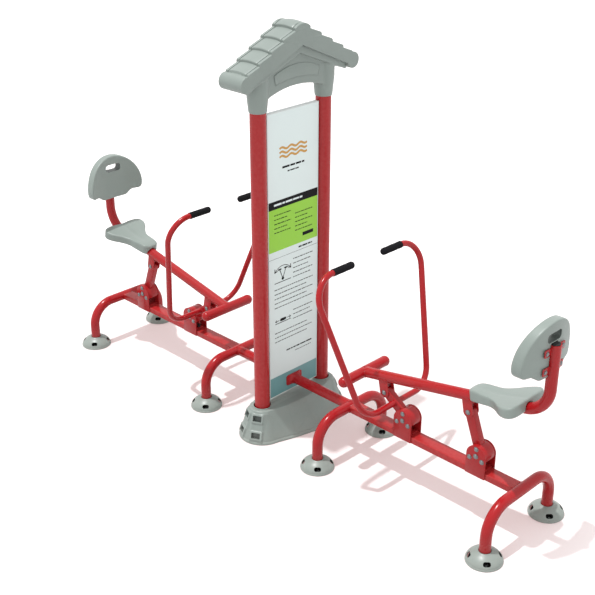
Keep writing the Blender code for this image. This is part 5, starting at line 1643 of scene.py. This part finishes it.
def tube_cap_shape():
    """Plug with a soft rim on the open top of the seat tube."""
    base = TUBE_TOP + HAIR
    rim = TUBE_RADIUS - 0.0055
    profile = [(0, base), (rim, base), (rim, base + 0.0020)]
    for a in (0.5, 1.0, 1.5):
        profile.append((rim - 0.003 * (1 - math.cos(a)), base + 0.0020 + 0.0025 * math.sin(a)))
    profile += [(0, base + 0.0050)]
    return turned(profile, 48, centre=(TUBE_CORNER_X, 0, 0))


def stop_shape():
    """Rubber buffer with a bulged side."""
    x, base, height, radius = STOP
    profile = [(0, base)]
    for step in range(11):
        bulge = 0.0012 * abs(2 * step / 10 - 1) ** 2
        profile.append((radius - bulge, base + height * step / 10))
    profile.append((0, base + height))
    return turned(profile, 32, centre=(x, 0, 0))


# Makers


class ROWER_OT_posts(bpy.types.Operator):
    """Make the two painted posts with their foot plates and lugs"""
    bl_idname = "rower.posts"
    bl_label = "Posts"

    def execute(self, context):
        for end, sign in ENDS:
            show(end + "_post_tube", post_shape(sign), "red_paint", "frame", end + "_post")
        return {"FINISHED"}


class ROWER_OT_roof(bpy.types.Operator):
    """Make the tiled roof with its lintel, sleeves and bare plates"""
    bl_idname = "rower.roof"
    bl_label = "Roof"

    def execute(self, context):
        mesh = gathered(roof_slopes(), roof_underside(), *lintel_plates())
        show("roof_moulding", mesh, "grey_plastic", "frame", "roof_cap")
        return {"FINISHED"}


class ROWER_OT_sign(bpy.types.Operator):
    """Finish the sign board and lay a printed sheet in each face"""
    bl_idname = "rower.sign"
    bl_label = "Sign"

    def execute(self, context):
        recoat("sign_board", "pale_board", 0.0004)
        inks = ("sheet_ground", "black_ink", "lime_ink", "teal_ink", "orange_ink")
        show_station("sign_sheet", sign_sheet(), inks, "frame", slot="pale_board")
        return {"FINISHED"}


class ROWER_OT_base(bpy.types.Operator):
    """Make the moulded cover round both post feet"""
    bl_idname = "rower.base"
    bl_label = "Base cover"

    def execute(self, context):
        looks = ("grey_plastic", "grey_painted_shade")
        show("base_cover_moulding", base_cover_shape(), looks, "frame", "base_cover")
        return {"FINISHED"}


class ROWER_OT_legs(bpy.types.Operator):
    """Make the bent legs with their foot plates and nuts"""
    bl_idname = "rower.legs"
    bl_label = "Legs"

    def execute(self, context):
        # The third finish, black rubber, darkens the feet inside the foot covers as painted shade
        looks = ("red_paint", "bright_steel", "black_rubber")
        for row, x in LEG_PLACES:
            show_station(row + "_leg_tube", leg_shape(x), looks, "frame", row + "_leg")
        return {"FINISHED"}


class ROWER_OT_foot_covers(bpy.types.Operator):
    """Make the domed covers over the foot plates"""
    bl_idname = "rower.foot_covers"
    bl_label = "Foot covers"

    def execute(self, context):
        cover = foot_cover_shape()
        for row, x in LEG_PLACES:
            for end, sign in ENDS:
                name = "_".join((row, end, "foot_cover"))
                mesh = moved(cover, Matrix.Translation((x, sign * LEG_TRACK, 0)))
                show_station(name + "_dome", mesh, "grey_plastic", "frame", name)
        return {"FINISHED"}


class ROWER_OT_beams(bpy.types.Operator):
    """Make the flared stub tubes and the flat beams between the legs"""
    bl_idname = "rower.beams"
    bl_label = "Beams"

    def execute(self, context):
        show_station("stub", stub_shape(), "red_paint", "frame", "stub_tube")
        show_station("box_beam", beam_shape(), "red_paint", "frame", "main_beam")
        return {"FINISHED"}


class ROWER_OT_brackets(bpy.types.Operator):
    """Make the brackets with their bolts, axles, stops and bearing sleeves"""
    bl_idname = "rower.brackets"
    bl_label = "Brackets"

    def execute(self, context):
        outer = BRACKET_INNER + BRACKET_PLATE
        looks = ("red_paint", "bright_steel")
        for row, axle in (("front", FRONT_AXLE), ("rear", REAR_AXLE)):
            plates = bracket_shape(axle)
            show_station(row + "_bracket_plates", plates, looks, "frame", row + "_bracket")
            bar = axle_shape(axle, outer, *AXLE)
            show_station(row + "_axle_bolt", bar, "bright_steel", "frame", row + "_axle")
            for side, turn in STATIONS:
                recoat(side + "_" + row + "_bearing", "bright_steel")
        show_station("buffer", stop_shape(), "black_rubber", "frame", "front_stop")
        return {"FINISHED"}


class ROWER_OT_links(bpy.types.Operator):
    """Make the swinging links with their hubs and curved guards"""
    bl_idname = "rower.links"
    bl_label = "Links"

    def execute(self, context):
        show_station("front_link_tube", front_link_shape(), "red_paint", "lever", "front_link")
        rear = link_shape(REAR_AXLE, REAR_PIN)
        show_station("rear_link_tube", rear, "red_paint", "rear_arm", "rear_link")
        return {"FINISHED"}


class ROWER_OT_handles(bpy.types.Operator):
    """Make the bent handle bars and their foam grips"""
    bl_idname = "rower.handles"
    bl_label = "Handles"

    def execute(self, context):
        show_station("handle_tube", handle_shape(), "red_paint", "lever", "handle_bar")
        for end, sign in ENDS:
            grip = grip_shape(sign)
            show_station(end + "_foam_grip", grip, "black_foam", "lever", end + "_grip")
        return {"FINISHED"}


class ROWER_OT_seat_beams(bpy.types.Operator):
    """Make the seat beams with forks and straps, their pins, caps and foot rests"""
    bl_idname = "rower.seat_beams"
    bl_label = "Seat beams"

    def execute(self, context):
        looks = ("red_paint", "bright_steel")
        show_station("seat_tube", seat_beam_shape(), looks, "carriage", "seat_beam")
        show_station("foot_bar", foot_rest_shape(), "red_paint", "carriage", "foot_rest")
        for row, place in (("front", FRONT_PIN), ("rear", REAR_PIN)):
            bar = axle_shape(place, FORK_HALF_GAP + FORK_PLATE, *PIN)
            show_station(row + "_pin_bolt", bar, "bright_steel", "carriage", row + "_pin")
        show_station("tube_plug", tube_cap_shape(), "black_rubber", "carriage", "tube_cap")
        return {"FINISHED"}


class ROWER_OT_seats(bpy.types.Operator):
    """Make the moulded seats and back rests"""
    bl_idname = "rower.seats"
    bl_label = "Seats"

    def execute(self, context):
        show_station("seat_moulding", seat_shape(), "grey_plastic", "carriage", "seat")
        looks = ("grey_plastic", "grey_painted_shade")
        show_station("back_moulding", back_rest_shape(), looks, "carriage", "back_rest")
        return {"FINISHED"}


class ROWER_OT_studio(bpy.types.Operator):
    """Set the floor, the sky, the lamp and the camera"""
    bl_idname = "rower.studio"
    bl_label = "Studio"

    def execute(self, context):
        self.lay_floor(context.scene)
        self.light_sky(context.scene)
        self.place_lamp_and_camera(context.scene)
        context.scene.view_settings.view_transform = "Standard"
        return {"FINISHED"}

    def lay_floor(self, scene):
        """A plain floor that takes the shadow and glows a little towards the camera."""
        studio = scene.rower_studio
        sheet = flat((-FLOOR_REACH, -FLOOR_REACH), (FLOOR_REACH, FLOOR_REACH), 0)
        floor = bpy.data.objects.new("floor", sheet)
        floor.data.transform(Matrix.Rotation(-math.pi / 2, 4, "Y"))
        floor.data.transform(Matrix.Translation((0, 0, FLOOR_LEVEL)))
        scene.collection.objects.link(floor)
        floor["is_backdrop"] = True
        look = bpy.data.materials.new("floor")
        look.use_nodes = True
        tree = Tree(look.node_tree)
        tree.nodes.remove(tree.nodes["Principled BSDF"])
        spot = tree.node("ShaderNodeNewGeometry", {}, {}, "Position")
        distance = tree.node("ShaderNodeVectorMath", {"operation": "LENGTH"}, {0: spot}, "Value")
        reach = {"Value": distance, "From Min": FLOOR_FADE[0], "From Max": FLOOR_FADE[1]}
        gradient = tree.node("ShaderNodeMapRange", {}, reach)
        # Painted light: near the machine the floor's shadows glow pink, as light thrown off the red
        # paint would make them; away from it a stronger glow washes the shadows out
        tint = tree.mix(gradient, (*studio.floor_tint, 1), (*studio.far_tint, 1))
        seen = tree.node("ShaderNodeLightPath", {}, {}, "Is Camera Ray")
        glow = tree.node("ShaderNodeEmission", {}, {"Color": tint, "Strength": seen})
        ground = tree.node("ShaderNodeBsdfDiffuse", {}, {"Color": (*studio.floor, 1)})
        both = tree.node("ShaderNodeAddShader", {}, {0: ground, 1: glow})
        tree.give(tree.nodes["Material Output"].inputs["Surface"], both)
        floor.data.materials.append(look)

    def light_sky(self, scene):
        """An even sky that lights the machine and looks plain white."""
        world = bpy.data.worlds.new("sky")
        scene.world = world
        world.use_nodes = True
        tree = Tree(world.node_tree)
        seen = tree.node("ShaderNodeLightPath", {}, {}, "Is Camera Ray")
        through = tree.node("ShaderNodeLightPath", {}, {}, "Is Transmission Ray")
        levels = {"Value": seen.maths("MAXIMUM", seen, through)}
        levels.update({"To Min": scene.rower_studio.sky, "To Max": 1.0})
        background = tree.nodes["Background"]
        tree.give(background.inputs["Strength"], tree.node("ShaderNodeMapRange", {}, levels))
        tree.give(background.inputs["Color"], (1, 1, 1, 1))

    def place_lamp_and_camera(self, scene):
        """A small sun above and the camera of the photograph."""
        studio = scene.rower_studio
        lamp = bpy.data.lights.new("key", "SUN")
        lamp.energy = studio.key
        lamp.angle = studio.key_spread
        key = bpy.data.objects.new("key", lamp)
        key.location = LAMP_PLACE
        ray = Vector((*studio.key_lean, -1.0))
        key.rotation_euler = ray.to_track_quat("-Z", "Y").to_euler()
        scene.collection.objects.link(key)
        camera = bpy.data.cameras.new("camera")
        camera.sensor_width = CAMERA_SENSOR
        camera.lens = CAMERA_LENS
        eye = bpy.data.objects.new("camera", camera)
        eye.location = CAMERA_PLACE
        eye.rotation_euler = CAMERA_TURN
        scene.collection.objects.link(eye)
        scene.camera = eye


MAKERS = (
    ROWER_OT_posts, ROWER_OT_roof, ROWER_OT_sign, ROWER_OT_base, ROWER_OT_legs,
    ROWER_OT_foot_covers, ROWER_OT_beams, ROWER_OT_brackets, ROWER_OT_links, ROWER_OT_handles,
    ROWER_OT_seat_beams, ROWER_OT_seats, ROWER_OT_studio,
)


class ROWER_PT_panel(bpy.types.Panel):
    """Sizes, colours and makers of the rowing machine"""
    bl_idname = "ROWER_PT_panel"
    bl_label = "Rowing machine"
    bl_space_type = "VIEW_3D"
    bl_region_type = "UI"
    bl_category = "Rowing machine"

    def draw(self, context):
        scene = context.scene
        for group in (scene.rower_sizes, scene.rower_colours, scene.rower_studio):
            column = self.layout.column()
            for name in group.__annotations__:
                column.prop(group, name)
        for maker in MAKERS:
            self.layout.operator(maker.bl_idname)


GROUPS = (
    ("rower_sizes", MachineSizes), ("rower_colours", MachineColours),
    ("rower_studio", StudioSettings),
)


def register():
    for name, group in GROUPS:
        bpy.utils.register_class(group)
        setattr(bpy.types.Scene, name, PointerProperty(type=group))
    for item in MAKERS + (ROWER_PT_panel,):
        bpy.utils.register_class(item)


def unregister():
    for item in reversed(MAKERS + (ROWER_PT_panel,)):
        bpy.utils.unregister_class(item)
    for name, group in reversed(GROUPS):
        delattr(bpy.types.Scene, name)
        bpy.utils.unregister_class(group)


def main():
    register()
    for maker in MAKERS:
        group, name = maker.bl_idname.split(".")
        getattr(getattr(bpy.ops, group), name)()
    boxes = {"cad": CAD_BOX, "visual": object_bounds()}
    {name: [list(corner) for corner in corners] for name, corners in boxes.items()}


if __name__ == "__main__":
    main()
